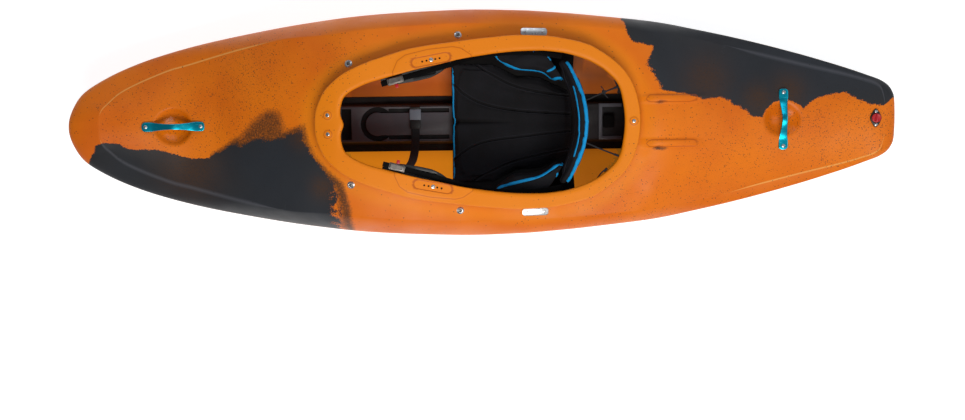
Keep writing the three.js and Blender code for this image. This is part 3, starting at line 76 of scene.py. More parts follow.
def placeCamera():
    data = bpy.data.cameras.new("planCamera")
    data.sensor_width = view["sensor"]
    data.lens = view["lens"]
    data.clip_start, data.clip_end = view["fence"]
    camera = addObject("planCamera", data)
    camera.matrix_world = (
        Matrix.Translation(Vector((view["alongBoat"], 0, view["height"])) * mm)
        @ Matrix.Rotation(math.radians(view["tiltDegrees"]), 4, "X")
        @ Matrix.Rotation(math.radians(view["rollDegrees"]), 4, "Z")
    )
    scene.camera = camera


# Each softbox has a place and an aim in metres, a size, a power in watts and a colour
softboxes = {
    "keyBox": {
        "place": (0.4, -1.6, 3.2), "aim": (0.1, 0, 0.2), "size": (2.6, 1.2), "power": 92, "tint": "FFF9F2"
    },
    "fillBox": {
        "place": (0.1, 2.7, 2.7), "aim": (0.1, 0, 0.15), "size": (3.6, 1.2), "power": 30, "tint": "F4F8FF"
    },
    "endBox": {
        "place": (3.2, 0.2, 2.4), "aim": (0.6, 0, 0.2), "size": (1.4, 1.8), "power": 12, "tint": "FFFFFF"
    },
}
room = {"sky": "F2F6FF", "skyStrength": 0.2, "floorHalf": 9.0, "floorGlow": 0.8}


def linear(hexText):
    channels = [int(hexText[i:i + 2], 16) / 255 for i in (0, 2, 4)]
    return tuple(c / 12.92 if c <= 0.04045 else ((c + 0.055) / 1.055) ** 2.4 for c in channels) + (1.0,)


def placeLights():
    for name, box in softboxes.items():
        data = bpy.data.lights.new(name, "AREA")
        data.shape = "RECTANGLE"
        data.size, data.size_y = box["size"]
        data.energy = box["power"]
        data.color = linear(box["tint"])[:3]
        lamp = addObject(name, data)
        lamp.location = box["place"]
        lamp.rotation_euler = (Vector(box["aim"]) - Vector(box["place"])).to_track_quat("-Z", "Y").to_euler()
    world = bpy.data.worlds.new("paleRoom")
    scene.world = world
    world.use_nodes = True
    background = world.node_tree.nodes["Background"]
    background.inputs["Color"].default_value = linear(room["sky"])
    background.inputs["Strength"].default_value = room["skyStrength"]
    scene.view_settings.view_transform = "Standard"


# Small tools for node trees

def joinInputs(tree, node, inputs):
    for name, value in inputs.items():
        if isinstance(value, bpy.types.NodeSocket):
            tree.links.new(value, node.inputs[name])
        else:
            node.inputs[name].default_value = value


# Adds a node, sets its options, joins or sets its inputs and gives one output; shader nodes go by short names
def addNode(tree, kind, inputs=None, give=0, **options):
    node = tree.nodes.new(kind if "Node" in kind else "ShaderNode" + kind)
    for name, value in options.items():
        setattr(node, name, value)
    joinInputs(tree, node, inputs or {})
    return node.outputs[give] if len(node.outputs) else node


# Patches of one size over a surface, spread between two levels and drawn out where the maker's tool ran
def mottle(tree, coords, scale, detail=2.0, grit=0.5, low=0.0, high=1.0, to=(0.0, 1.0), stretch=(1, 1, 1)):
    drawn = addNode(tree, "Mapping", {"Vector": coords, "Scale": stretch})
    cloud = addNode(tree, "TexNoise", {"Vector": drawn, "Scale": scale, "Detail": detail, "Roughness": grit})
    return addNode(tree, "MapRange", {0: cloud, 1: low, 2: high, 3: to[0], 4: to[1]})


# A coat of colour over another, as thick as its share and weight say; a text share is the piece's attribute
def coat(tree, base, share, over, weight=1.0):
    if isinstance(share, str):
        share = addNode(tree, "Attribute", give="Fac", attribute_name=share)
    amount = addNode(tree, "Math", {0: share, 1: weight}, operation="MULTIPLY")
    under, upper = (linear(tone) if isinstance(tone, str) else tone for tone in (base, over))
    return addNode(tree, "Mix", {0: amount, 6: under, 7: upper}, give=2, data_type="RGBA")


# A thin line where a measured gap is zero, or has the width "away": gone at one distance, full at the other
def lineAlong(tree, name, gone, full, away=0.0, ease="LINEAR"):
    gap = addNode(tree, "Attribute", give="Fac", attribute_name=name)
    shifted = addNode(tree, "Math", {0: gap, 1: away}, operation="SUBTRACT")
    distance = addNode(tree, "Math", {0: shifted}, operation="ABSOLUTE")
    return addNode(tree, "MapRange", {0: distance, 1: gone, 2: full}, interpolation_type=ease)


# Shallow relief in layers, each a height and its depth in millimetres
def relief(tree, *layers):
    under = {}
    for height, depth in layers:
        normal = addNode(tree, "Bump", {"Height": height, "Distance": depth * mm, "Strength": 1.0, **under})
        under = {"Normal": normal}
    return normal


def newMaterial(name):
    material = bpy.data.materials.new(name)
    material.use_nodes = True
    tree = material.node_tree
    return material, tree, tree.nodes["Principled BSDF"], addNode(tree, "TexCoord", give="Object")


def paleFloor():
    half = room["floorHalf"]
    mesh = bpy.data.meshes.new("floor")
    corners = [(-half, -half, 0), (half, -half, 0), (half, half, 0), (-half, half, 0)]
    mesh.from_pydata(corners, [], [(0, 1, 2, 3)])
    floor = addObject("floor", mesh)
    # A milky acrylic sheet lit from below, as for product pictures: white, with a faint shade under the boat
    material, tree, shader, coords = newMaterial("matMilkyAcrylicFloor")
    joinInputs(tree, shader, {
        "Base Color": coat(tree, "C4C4C6", mottle(tree, coords, 3.0, 3.0), "CACACC"), "Roughness": 0.9,
        "Emission Color": linear("FFFFFF"), "Emission Strength": room["floorGlow"],
    })
    mesh.materials.append(material)


placeCamera()
placeLights()
paleFloor()
print("camera, lights and floor are set")


# Tools for meshes; points are in millimetres

def makePiece(name, points, faces, smooth=True):
    mesh = bpy.data.meshes.new(name)
    mesh.from_pydata((np.asarray(points, float) * mm).tolist(), [], faces)
    piece = addObject(name, mesh)
    tidyMesh(mesh)
    if smooth:
        mesh.shade_smooth()
    return piece


def tidyMesh(mesh, near=0.004):
    form = bmesh.new()
    form.from_mesh(mesh)
    bmesh.ops.remove_doubles(form, verts=form.verts, dist=near * mm)
    bmesh.ops.dissolve_degenerate(form, edges=form.edges, dist=near * mm)
    bmesh.ops.recalc_face_normals(form, faces=form.faces)
    form.to_mesh(mesh)
    form.free()


def gridFaces(rows, columns, closed=True):
    faces = []
    across = columns if closed else columns - 1
    for start in range(0, (rows - 1) * columns, columns):
        for c in range(across):
            after = (c + 1) % columns
            faces.append((start + c, start + after, start + columns + after, start + columns + c))
    return faces


# A body through a row of equal closed outlines, with its two ends closed
def loftPiece(name, outlines, smooth=True):
    rows = np.asarray(outlines, float)
    count = rows.shape[1]
    faces = gridFaces(len(rows), count)
    last = (len(rows) - 1) * count
    faces += [tuple(range(count)), tuple(range(last, last + count))]
    return makePiece(name, rows.reshape(-1, 3), faces, smooth)


def addModifier(piece, kind, **settings):
    modifier = piece.modifiers.new(kind.lower(), kind)
    for name, value in settings.items():
        setattr(modifier, name, value)
    return modifier


# Works the modifiers into the mesh
def settle(piece):
    graph = bpy.context.evaluated_depsgraph_get()
    mesh = bpy.data.meshes.new_from_object(piece.evaluated_get(graph))
    piece.modifiers.clear()
    piece.data = mesh
    return piece


def bevelled(piece, width, segments, degrees):
    angle = math.radians(degrees)
    addModifier(piece, "BEVEL", width=width * mm, segments=segments, limit_method="ANGLE", angle_limit=angle)
    return settle(piece)


def cutWith(piece, cutter):
    addModifier(piece, "BOOLEAN", operation="DIFFERENCE", solver="MANIFOLD", object=cutter)
    settle(piece)
    bpy.data.objects.remove(cutter)
    return piece


def smoothByAngle(piece, degrees=35):
    piece.data.shade_smooth()
    piece.data.set_sharp_from_angle(angle=math.radians(degrees))
    return piece


def pointsOf(piece):
    co = np.zeros(len(piece.data.vertices) * 3)
    piece.data.vertices.foreach_get("co", co)
    return co.reshape(-1, 3) / mm


def setPoints(piece, points):
    piece.data.vertices.foreach_set("co", (np.asarray(points) * mm).ravel())
    piece.data.update()


def setAttribute(piece, name, values):
    made = piece.data.attributes.new(name, "FLOAT", "POINT")
    made.data.foreach_set("value", np.asarray(values, np.float32))


def dress(piece, material, body="root", nodes=()):
    piece.data.materials.clear()
    piece.data.materials.append(material)
    if nodes:
        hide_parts(*nodes)
    if body:
        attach(piece, body)
    return piece


# A smooth curve through pairs of shares that never runs past them
def smoothCurve(shares, roundEnds=False):
    def warp(share):
        return np.arccos(np.clip(-np.asarray(share, float), -1, 1)) if roundEnds else np.asarray(share, float)

    stops, values = warp([share for share, _ in shares]), np.array([value for _, value in shares], float)
    rises = np.diff(values) / np.diff(stops)
    before, after = np.r_[rises[:1], rises], np.r_[rises, rises[-1:]]
    same = before * after > 0
    slopes = np.where(same, 2 * before * after / np.where(same, before + after, 1), 0)

    def curve(share):
        at = warp(share)
        i = np.clip(np.searchsorted(stops, at) - 1, 0, len(stops) - 2)
        span = stops[i + 1] - stops[i]
        t = np.clip((at - stops[i]) / span, 0, 1)
        back = 1 - t
        ends = values[i] * (1 + 2 * t) * back * back + values[i + 1] * t * t * (3 - 2 * t)
        return ends + slopes[i] * span * t * back * back - slopes[i + 1] * span * t * t * back

    return curve


# The hull's lines, as shares of half the length and of half the beam or the rim height

hull = {
    "halfLength": 1200, "halfBeam": 330, "rimHeight": 410, "wall": 5,
    "stepsAlong": 266, "tipWalls": 6, "innerDeckRows": 14,
}
seamBreadthShares = [
    (-1, 0), (-0.992, 0.158), (-0.973, 0.288), (-0.942, 0.385), (-0.876, 0.521), (-0.807, 0.62),
    (-0.698, 0.73), (-0.586, 0.812), (-0.437, 0.9), (-0.287, 0.961), (-0.141, 0.989), (-0.03, 1),
    (0.08, 0.991), (0.191, 0.965), (0.302, 0.927), (0.415, 0.882), (0.528, 0.806), (0.642, 0.715),
    (0.752, 0.609), (0.86, 0.485), (0.931, 0.391), (0.966, 0.339), (0.983, 0.294), (0.993, 0.242),
    (0.998, 0.188), (1, 0),
]
seamHeight = smoothCurve([
    (-1, 0.634), (-0.992, 0.607), (-0.955, 0.539), (-0.915, 0.485), (-0.849, 0.429),
    (-0.781, 0.393), (-0.718, 0.38), (-0.654, 0.378), (-0.546, 0.393), (-0.459, 0.412),
    (-0.349, 0.434), (-0.231, 0.456), (-0.074, 0.459), (0.072, 0.449), (0.193, 0.429),
    (0.312, 0.405), (0.432, 0.373), (0.548, 0.346), (0.666, 0.334), (0.736, 0.339), (0.81, 0.361),
    (0.922, 0.41), (1, 0.444),
])
keelHeight = smoothCurve([
    (-1, 0.639), (-0.967, 0.529), (-0.928, 0.451), (-0.852, 0.329), (-0.776, 0.237),
    (-0.699, 0.159), (-0.624, 0.112), (-0.548, 0.078), (-0.473, 0.054), (-0.399, 0.037),
    (-0.325, 0.022), (-0.25, 0.01), (-0.125, 0), (0.189, 0), (0.26, 0.007), (0.332, 0.024),
    (0.403, 0.046), (0.473, 0.076), (0.544, 0.102), (0.614, 0.132), (0.685, 0.173),
    (0.754, 0.224), (0.824, 0.273), (0.892, 0.329), (0.962, 0.38), (1, 0.42),
])
crownHeight = smoothCurve([
    (-1, 0.663), (-0.992, 0.683), (-0.967, 0.685), (-0.928, 0.678), (-0.852, 0.649),
    (-0.776, 0.607), (-0.718, 0.593), (-0.662, 0.607), (-0.586, 0.68), (-0.51, 0.766),
    (-0.436, 0.849), (-0.375, 0.898), (-0.328, 0.927), (-0.261, 0.934), (-0.195, 0.912),
    (-0.147, 0.878), (-0.098, 0.846), (-0.049, 0.807), (0.001, 0.754), (0.072, 0.683),
    (0.167, 0.659), (0.264, 0.639), (0.333, 0.634), (0.361, 0.639), (0.383, 0.659),
    (0.407, 0.683), (0.438, 0.671), (0.473, 0.641), (0.544, 0.593), (0.614, 0.549),
    (0.685, 0.515), (0.754, 0.5), (0.824, 0.49), (0.892, 0.498), (0.962, 0.507),
    (0.983, 0.493), (1, 0.459),
])
shoulderHeight = smoothCurve([
    (-0.922, 0.68), (-0.912, 0.656), (-0.902, 0.628), (-0.882, 0.59), (-0.842, 0.541),
    (-0.795, 0.51), (-0.738, 0.488), (-0.696, 0.498), (-0.655, 0.522), (-0.573, 0.607),
    (-0.449, 0.741), (-0.375, 0.785), (-0.328, 0.817), (-0.261, 0.837), (-0.195, 0.824),
    (-0.147, 0.8), (-0.098, 0.766), (-0.049, 0.724), (0.001, 0.666), (0.026, 0.639),
    (0.072, 0.612), (0.172, 0.59), (0.264, 0.583), (0.361, 0.561), (0.415, 0.52),
    (0.475, 0.459), (0.528, 0.412), (0.583, 0.385), (0.682, 0.368), (0.801, 0.393),
    (0.912, 0.441), (0.958, 0.483), (0.971, 0.502),
])
panelBulge = smoothCurve([
    (-1, 0.95), (-0.93, 0.8), (-0.85, 0.4), (-0.5, 0.45), (-0.3, 0.7), (0.3, 0.75), (0.55, 0.5),
    (0.9, 0.5), (1, 0.9),
])
shoulderBreadthShares = [
    (-1, 0), (-0.994, 0.136), (-0.978, 0.212), (-0.957, 0.288), (-0.915, 0.376), (-0.869, 0.448),
    (-0.828, 0.503), (-0.785, 0.542), (-0.746, 0.579), (-0.695, 0.624), (-0.647, 0.661),
    (-0.5, 0.745), (-0.422, 0.758), (-0.329, 0.794), (-0.174, 0.833), (-0.057, 0.852),
    (0.059, 0.852), (0.176, 0.836), (0.294, 0.806), (0.413, 0.773), (0.533, 0.712), (0.695, 0.573),
    (0.82, 0.464), (0.938, 0.358), (0.987, 0.279), (0.997, 0.152), (1, 0),
]
openingBreadthShares = [
    (-1, 0), (-0.982, 0.298), (-0.965, 0.372), (-0.927, 0.437), (-0.857, 0.511), (-0.787, 0.566),
    (-0.699, 0.615), (-0.581, 0.68), (-0.446, 0.749), (-0.308, 0.809), (-0.17, 0.878),
    (-0.03, 0.928), (0.11, 0.968), (0.253, 0.993), (0.396, 1), (0.539, 0.975), (0.682, 0.903),
    (0.827, 0.764), (0.897, 0.65), (0.94, 0.556), (0.97, 0.427), (0.99, 0.233), (1, 0),
]
lipBreadthShares = [
    (-1, 0), (-0.996, 0.114), (-0.971, 0.261), (-0.939, 0.371), (-0.888, 0.469), (-0.816, 0.571),
    (-0.735, 0.645), (-0.664, 0.698), (-0.544, 0.771), (-0.423, 0.837), (-0.305, 0.878),
    (-0.182, 0.91), (-0.061, 0.943), (0.061, 0.971), (0.248, 1), (0.406, 0.992), (0.561, 0.947),
    (0.686, 0.882), (0.75, 0.816), (0.811, 0.739), (0.89, 0.608), (0.95, 0.441), (0.989, 0.212),
    (1, 0),
]
lipHeight = smoothCurve([
    (-1, 0.956), (-0.923, 0.978), (-0.857, 0.99), (-0.706, 1), (-0.596, 0.993), (-0.471, 0.978),
    (-0.342, 0.954), (-0.213, 0.92), (-0.083, 0.876), (0.044, 0.832), (0.173, 0.798),
    (0.298, 0.771), (0.425, 0.746), (0.522, 0.739), (0.741, 0.729), (1, 0.72),
])
rim = {
    "half": 456, "halfBreadth": 245, "middle": -18, "overhang": 18, "face": 20, "rounding": 5,
    "edgeDepth": 14, "rollWidth": 12, "rollDepth": 7, "rollSteps": 5, "openingHalf": 399,
    "openingHalfBreadth": 201.5, "openingMiddle": -5, "acrossSteps": 14, "noseDepth": 11, "noseHalf": 20,
    "neckRadius": 9, "radii": (3, 5, 6), "innerRadius": 2, "topFrom": 0.04, "above": 8,
}
bottom = {
    "chineReachShare": 0.955, "chineBreadthShare": 0.7, "chineLift": 16, "flatReachShare": 0.9,
    "flatBreadthShare": 0.42, "keelReachShare": 0.88, "flareSteps": 6, "flarePower": 0.75,
    "rounding": 16, "seamRounding": 5,
}
deck = {
    "shoulderMiddle": 29, "shoulderHalf": 1136.4, "panelSteps": 9, "shoulderRounding": 7,
    "coarseStep": 0.03, "fineStep": 0.0065, "fineFrom": 0.2, "fineTo": 0.5, "low": 200, "bowlsLow": 150,
    "innerFrom": 0.07, "innerPanelSteps": 4,
}
bowBowl = {"middle": -900, "length": 104, "breadth": 116, "depth": 27}
sternBowl = {"middle": 868, "length": 110, "breadth": 110, "depth": 25}
bowlEdge = 5.0

# Closed lines seen from above: middle and reach along the boat, half breadth across it
seamLoop = {
    "middle": 0, "reach": hull["halfLength"], "breadth": hull["halfBeam"],
    "shape": smoothCurve(seamBreadthShares, True),
}
shoulderLoop = {
    "middle": deck["shoulderMiddle"], "reach": deck["shoulderHalf"], "breadth": hull["halfBeam"],
    "shape": smoothCurve(shoulderBreadthShares, True),
}
lipLoop = {
    "middle": rim["middle"], "reach": rim["half"], "breadth": rim["halfBreadth"],
    "shape": smoothCurve(lipBreadthShares, True),
}
openingLoop = {
    "middle": rim["openingMiddle"], "reach": rim["openingHalf"], "breadth": rim["openingHalfBreadth"],
    "shape": smoothCurve(openingBreadthShares, True),
}


def inset(loop, side, end=None):
    end = side if end is None else end
    return {**loop, "reach": loop["reach"] - end, "breadth": loop["breadth"] - side}


def onLoop(loop, turn):
    return loop["middle"] - loop["reach"] * np.cos(turn), loop["breadth"] * loop["shape"](-np.cos(turn))


def breadthAt(loop, x):
    return loop["breadth"] * loop["shape"](np.clip((x - loop["middle"]) / loop["reach"], -1, 1))


def heightAt(line, x):
    return line(np.clip(x / hull["halfLength"], -1, 1)) * hull["rimHeight"]


def lipTopAt(x):
    return lipHeight(np.clip((x - rim["middle"]) / rim["half"], -1, 1)) * hull["rimHeight"]


def openingAt(x):
    return breadthAt(openingLoop, x)


def deckHeight(x, y):
    shoulder = heightAt(shoulderHeight, x)
    crown = heightAt(crownHeight, x)
    across = np.minimum(np.abs(y) / np.maximum(breadthAt(shoulderLoop, x), 0.001), 1)
    return shoulder + (crown - shoulder) * (1 - across ** 2)


# The deck dished by the two bowls, with a soft edge round each
def dishedHeight(x, y, grow=0.0):
    height = deckHeight(x, y) - grow
    for bowl in (bowBowl, sternBowl):
        rest = (bowl["length"] / 2) ** 2 / bowl["depth"]
        radius = (rest + bowl["depth"]) / 2
        stretch = bowl["breadth"] / bowl["length"]
        middle = float(deckHeight(bowl["middle"], 0.0)) + radius - bowl["depth"]
        away = (x - bowl["middle"]) ** 2 + (y / stretch) ** 2
        inside = away < (radius + grow) ** 2 * 0.98
        dish = middle - np.sqrt(np.where(inside, (radius + grow) ** 2 - away, 0))
        gap = dish - height
        soft = np.clip(0.5 + 0.5 * gap / bowlEdge, 0, 1)
        joined = dish * (1 - soft) + height * soft - bowlEdge * soft * (1 - soft)
        height = np.where(inside & (gap < bowlEdge), joined, height)
    return height


# Cuts each corner of a row of sections to a soft curve; the radii run along with the rows
def roundedRows(rows, radii, steps=4):
    made = [rows[0]]
    for i in range(1, len(rows) - 1):
        if radii[i] <= 0:
            made.append(rows[i])
            continue
        toBefore, toAfter = rows[i - 1] - rows[i], rows[i + 1] - rows[i]
        reachBefore = np.maximum(np.linalg.norm(toBefore, axis=1, keepdims=True), 1e-6)
        reachAfter = np.maximum(np.linalg.norm(toAfter, axis=1, keepdims=True), 1e-6)
        start = rows[i] + toBefore * np.minimum(radii[i] / reachBefore, 0.45)
        end = rows[i] + toAfter * np.minimum(radii[i] / reachAfter, 0.45)
        for t in np.linspace(0, 1, steps + 1):
            made.append((1 - t) ** 2 * start + 2 * t * (1 - t) * rows[i] + t * t * end)
    made.append(rows[-1])
    return made


def mixPoints(first, second, share):
    return first[0] + (second[0] - first[0]) * share, first[1] + (second[1] - first[1]) * share


def row(x, y, z):
    x, y, z = np.broadcast_arrays(x, y, z)
    made = np.stack([x, y, z], 1).astype(float)
    made[0, 1] = made[-1, 1] = 0
    return made


# Sections of the skin from the keel up to the neck under the rim, moved in by a wall for the inside
def shellRows(turns, wall, panelSteps, deckShares, outside):
    ends = wall * hull["tipWalls"]
    seam = onLoop(inset(seamLoop, wall, ends), turns)
    shoulder = onLoop(inset(shoulderLoop, wall, ends), turns)
    neck = onLoop(inset(lipLoop, rim["overhang"] + wall), turns)
    chine = seam[0] * bottom["chineReachShare"], seam[1] * bottom["chineBreadthShare"]
    chineBreadth = hull["halfBeam"] * bottom["chineBreadthShare"]
    chineZ = heightAt(keelHeight, chine[0]) + wall + bottom["chineLift"] * (chine[1] / chineBreadth) ** 2
    seamZ = heightAt(seamHeight, seam[0])
    keelX = seam[0] * bottom["keelReachShare"]
    flatX = seam[0] * bottom["flatReachShare"]
    rows = [
        row(keelX, 0 * keelX, heightAt(keelHeight, keelX) + wall),
        row(flatX, seam[1] * bottom["flatBreadthShare"], heightAt(keelHeight, flatX) + wall),
        row(*chine, chineZ),
    ]
    for t in np.arange(1, bottom["flareSteps"]) / bottom["flareSteps"]:
        rows.append(row(*mixPoints(chine, seam, t ** bottom["flarePower"]), chineZ + (seamZ - chineZ) * t))
    rows.append(row(*seam, seamZ))
    seamRow = len(rows) - 1
    top = heightAt(shoulderHeight, shoulder[0]) - wall
    for t in np.arange(1, panelSteps + 1) / panelSteps:
        flat = mixPoints(seam, shoulder, t)
        bulge = panelBulge(flat[0] / hull["halfLength"])
        rise = (1 - bulge) * t + bulge * np.sqrt(1 - (1 - t) ** 2)
        rows.append(row(*flat, seamZ + (top - seamZ) * rise))
    shoulderRow = len(rows) - 1
    for share in deckShares:
        place = mixPoints(shoulder, neck, share)
        rows.append(row(*place, dishedHeight(*place, wall)))
    radii = [0] * len(rows)
    radii[1] = radii[2] = bottom["rounding"]
    if outside:
        radii[seamRow] = bottom["seamRounding"]
        radii[shoulderRow] = deck["shoulderRounding"]
    return roundedRows(rows, radii)


def openingEdge(turns, grow=0.0):
    x, y = onLoop(inset(openingLoop, -grow), turns)
    nose = rim["noseDepth"] * np.exp(-(y / rim["noseHalf"]) ** 2)
    return x + np.where(x < rim["openingMiddle"], nose, 0), y


def ramp(value, low, high):
    t = np.clip((value - low) / (high - low), 0, 1)
    return t * t * (3 - 2 * t)


# Raised pads for the thigh bolts, each within a drawn line and the opening, and bosses for the rim's bolts
rimPad = {
    "rise": 1.6, "edge": 3.0, "soft": (-8, 12), "tight": 0.68,
    "line": [
        (-256, 100), (-255, 142), (-242, 172), (-220, 188), (-159, 203), (-90, 211), (-68, 207), (-40, 189),
        (-36, 100)
    ],
}
rimBosses = [(-436, 26), (-436, -26), (419, 0)]
rimBoss = {"radius": 11.5, "rise": 1.6, "edge": 2.5}


def softStep(value, edge):
    t = np.clip(0.5 + 0.5 * value / edge, 0, 1)
    return t * t * (3 - 2 * t)


# How far inside an outline each place lies, and the outline's own width there
def edgeDistance(x, y, edge):
    best = np.full(x.shape, 1e9)
    widthHere = np.ones(x.shape)
    inside = np.zeros(x.shape, bool)
    for (ax, ay, aw), (bx, by, bw) in zip(edge, edge[1:] + edge[:1]):
        t = np.clip(((x - ax) * (bx - ax) + (y - ay) * (by - ay)) / ((bx - ax) ** 2 + (by - ay) ** 2), 0, 1)
        away = np.hypot(x - ax - t * (bx - ax), y - ay - t * (by - ay))
        widthHere = np.where(away < best, aw + t * (bw - aw), widthHere)
        best = np.minimum(best, away)
        crosses = (ay > y) != (by > y)
        atY = (bx - ax) * (y - ay) / np.where(by == ay, 1e-9, by - ay) + ax
        inside ^= crosses & (x < atY)
    return np.where(inside, best, -best), widthHere


def outlineDepth(x, y, line):
    return edgeDistance(x, y, [(px, py, 1) for px, py in line])[0]


def padDepth(x, y):
    return outlineDepth(x, np.abs(y), rimPad["line"])


def bossDepth(x, y):
    return rimBoss["radius"] - np.min([np.hypot(x - bx, y - by) for bx, by in rimBosses], axis=0)


def rimRelief(x, y):
    return (rimPad["rise"] * softStep(padDepth(x, y), rimPad["edge"])
            + rimBoss["rise"] * softStep(bossDepth(x, y), rimBoss["edge"]))


# The rim: up the neck, round the lip, across its top and down into the opening
def rimRows(turns):
    neck = onLoop(inset(lipLoop, rim["overhang"]), turns)
    lip = onLoop(lipLoop, turns)
    edge = openingEdge(turns)
    # The inner edge rolls over into the opening, more tightly beside the raised pads
    tight = 1 - rimPad["tight"] * ramp(padDepth(*edge), *rimPad["soft"])
    brink = openingEdge(turns, rim["rollWidth"] * tight)
    topStart = onLoop(inset(lipLoop, rim["rounding"]), turns)
    rows = [
        row(*neck, lipTopAt(neck[0]) - rim["face"]), row(*lip, lipTopAt(lip[0]) - rim["face"]),
        row(*lip, lipTopAt(lip[0])),
    ]
    radii = list(rim["radii"])
    for share in np.linspace(rim["topFrom"], 1, rim["acrossSteps"]):
        place = mixPoints(topStart, brink, share)
        rows.append(row(*place, lipTopAt(place[0])))
        radii.append(0)
    for turn in np.linspace(0, np.pi / 2, rim["rollSteps"])[1:]:
        place = openingEdge(turns, rim["rollWidth"] * tight * (1 - np.sin(turn)))
        rows.append(row(*place, lipTopAt(place[0]) - rim["rollDepth"] * tight * (1 - np.cos(turn))))
        radii.append(0)
    rows.append(row(*edge, lipTopAt(edge[0]) - rim["edgeDepth"]))
    return rows, radii + [rim["innerRadius"]]


# Two low ribs run aft from the rim along the rear deck
deckRibs = {"front": 456, "rear": 606, "outboard": 64, "half": 10, "rise": 9.0, "edge": 4.0}


def ribDepth(x, y):
    side = deckRibs["half"] - np.abs(np.abs(y) - deckRibs["outboard"])
    return np.minimum(side, np.minimum(x - deckRibs["front"], deckRibs["rear"] - x))


def ribRelief(x, y):
    return deckRibs["rise"] * softStep(ribDepth(x, y), deckRibs["edge"])


def buildHull():
    turns = np.linspace(0, np.pi, hull["stepsAlong"] + 1)
    shares = list(np.arange(deck["coarseStep"], deck["fineFrom"], deck["coarseStep"]))
    shares += list(np.arange(deck["fineFrom"], deck["fineTo"], deck["fineStep"]))
    shares += list(np.arange(deck["fineTo"], 0.97, deck["coarseStep"])) + [0.985, 1]
    skin = shellRows(turns, 0, deck["panelSteps"], shares, True)
    for line in skin:
        line[:, 2] += np.where(line[:, 2] > deck["low"], ribRelief(line[:, 0], line[:, 1]), 0)
    lid, lidRadii = rimRows(turns)
    for line in lid[2:-1]:
        line[:, 2] += rimRelief(line[:, 0], line[:, 1])
    innerShares = np.linspace(deck["innerFrom"], 1, hull["innerDeckRows"])
    inner = shellRows(turns, hull["wall"], deck["innerPanelSteps"], innerShares, False)[::-1]
    top = [skin[-2], skin[-1], *lid, inner[0], inner[1]]
    rows = skin[:-2] + roundedRows(top, [0, rim["neckRadius"], *lidRadii, 0, 0])[:-1] + inner[1:]
    points = []
    for line in rows:
        other = line[1:-1][::-1] * (1, -1, 1)
        points.append(np.concatenate([line, other]))
    count = len(points[0])
    return makePiece("hullShell", np.concatenate(points), gridFaces(len(rows), count))


hullShell = buildHull()


# Where the moulder's charcoal powder lies over the orange: edges seen from above, each with the
# width in which it thins out, closed by corners outside the hull
bowDarkEdge = [
    (-1156, -100, 11), (-1138, -75, 11), (-1122, -46, 11), (-1092, -38, 11), (-1056, -41, 11),
    (-1021, -60, 11), (-980, -59, 13), (-939, -64, 13), (-892, -77, 11), (-855, -89, 11), (-805, -85, 13),
    (-753, -56, 20), (-721, -33, 31), (-702, -43, 36), (-649, -26, 36), (-600, -29, 31), (-555, -13, 34),
    (-509, 3, 44), (-499, -41, 36), (-482, -83, 14), (-440, -131, 22), (-403, -162, 56), (-393, -196, 84),
    (-384, -239, 98), (-384, -316, 105), (-384, -700, 105), (-1400, -700, 11), (-1400, -150, 11),
]
sternDarkEdge = [
    (389, 296, 20), (399, 253, 17), (419, 223, 17), (477, 211, 14), (458, 164, 17), (473, 129, 17),
    (500, 82, 17), (608, 62, 17), (617, 53, 14), (678, 62, 14), (776, 5, 11), (805, 0, 11), (817, 28, 7),
    (842, 48, 6), (868, 55, 6), (897, 48, 6), (915, 38, 7), (927, 26, 10), (955, 46, 14), (997, 62, 17),
    (1050, 70, 17), (1083, 51, 14), (1122, 32, 13), (1160, 32, 11), (1190, 55, 11), (1400, 60, 11),
    (1400, 700, 14), (389, 700, 20),
]
# Seen from the side: how far aft the dark bow reaches at each height, and how high the dark stern
# reaches along the right side
bowDarkReach = [(9, -375), (73, -399), (174, -405), (305, -448), (366, -468)]
sternDarkTop = [
    (327, 92), (443, 107), (530, 110), (617, 131), (661, 142), (850, 139), (943, 148), (1082, 171),
    (1155, 180)
]
sternDarkFront = [(20, 356), (58, 339), (96, 327)]
lowPatch = {
    "bowWidth": 80, "sternWidth": 16, "sternLeft": 395, "keelWidth": 20, "topSlope": 1.4, "seamWidth": 6
}
# Places with dark specks of powder: along, across, spread and how thick they lie
speckPlaces = [
    (-905, 10, 130, 0.5), (-1050, 30, 110, 0.35), (-760, 60, 150, 0.5), (-620, 110, 130, 0.6),
    (-680, 210, 110, 0.4), (1010, -60, 130, 0.85), (1120, -30, 90, 0.8), (868, -20, 90, 0.6),
    (700, -40, 110, 0.4), (540, 0, 80, 0.3), (430, -260, 140, 0.45), (700, -200, 140, 0.5),
    (-395, 190, 60, 0.6), (1165, -62, 45, 1.4),
]
# Dark scuffs beside the rear ribs
scuffs = [(503, 54, 12, 5), (497, -78, 14, 7)]
# The patch of thin brown haze ahead of the cockpit, and places where brown shows in the charcoal
hazeEdge = [
    (-735, -75), (-719, -44), (-708, -23), (-694, -8), (-671, 16), (-646, 34), (-621, 49), (-604, 52),
    (-578, 44), (-566, 18), (-560, -10), (-560, -40), (-600, -75), (-700, -90),
]
hazeLook = {
    "thick": 0.68, "edge": (-16, 22), "scuff": 1.3, "rimThick": 0.75, "rimEdge": (-14, 10),
    "rimFade": (10, 60), "rimFrom": -800,
}
# How far the yellower orange reaches round the lip, the depth of the painted shade under the lip, where the
# painted highlight runs along the creases, and the painted glow inside
tones = {
    "yellow": (-62, -22), "yellowHigh": (200, 240), "lipShadeDepth": 6, "creaseMiddle": 60,
    "creaseFrom": (640, 760), "glowSide": (-30, 60), "glowEnd": (150, 320), "glowLoss": 0.55,
}
# Painted shade with some bilge soiling on the left inside: its least, then toward the bow, and on the left
# toward the stern
dirtAndShadeLook = {
    "least": 0.1, "bow": (0.24, 150, 380), "stern": 0.45, "sternLeft": (90, 170), "sternFrom": (200, 260)
}
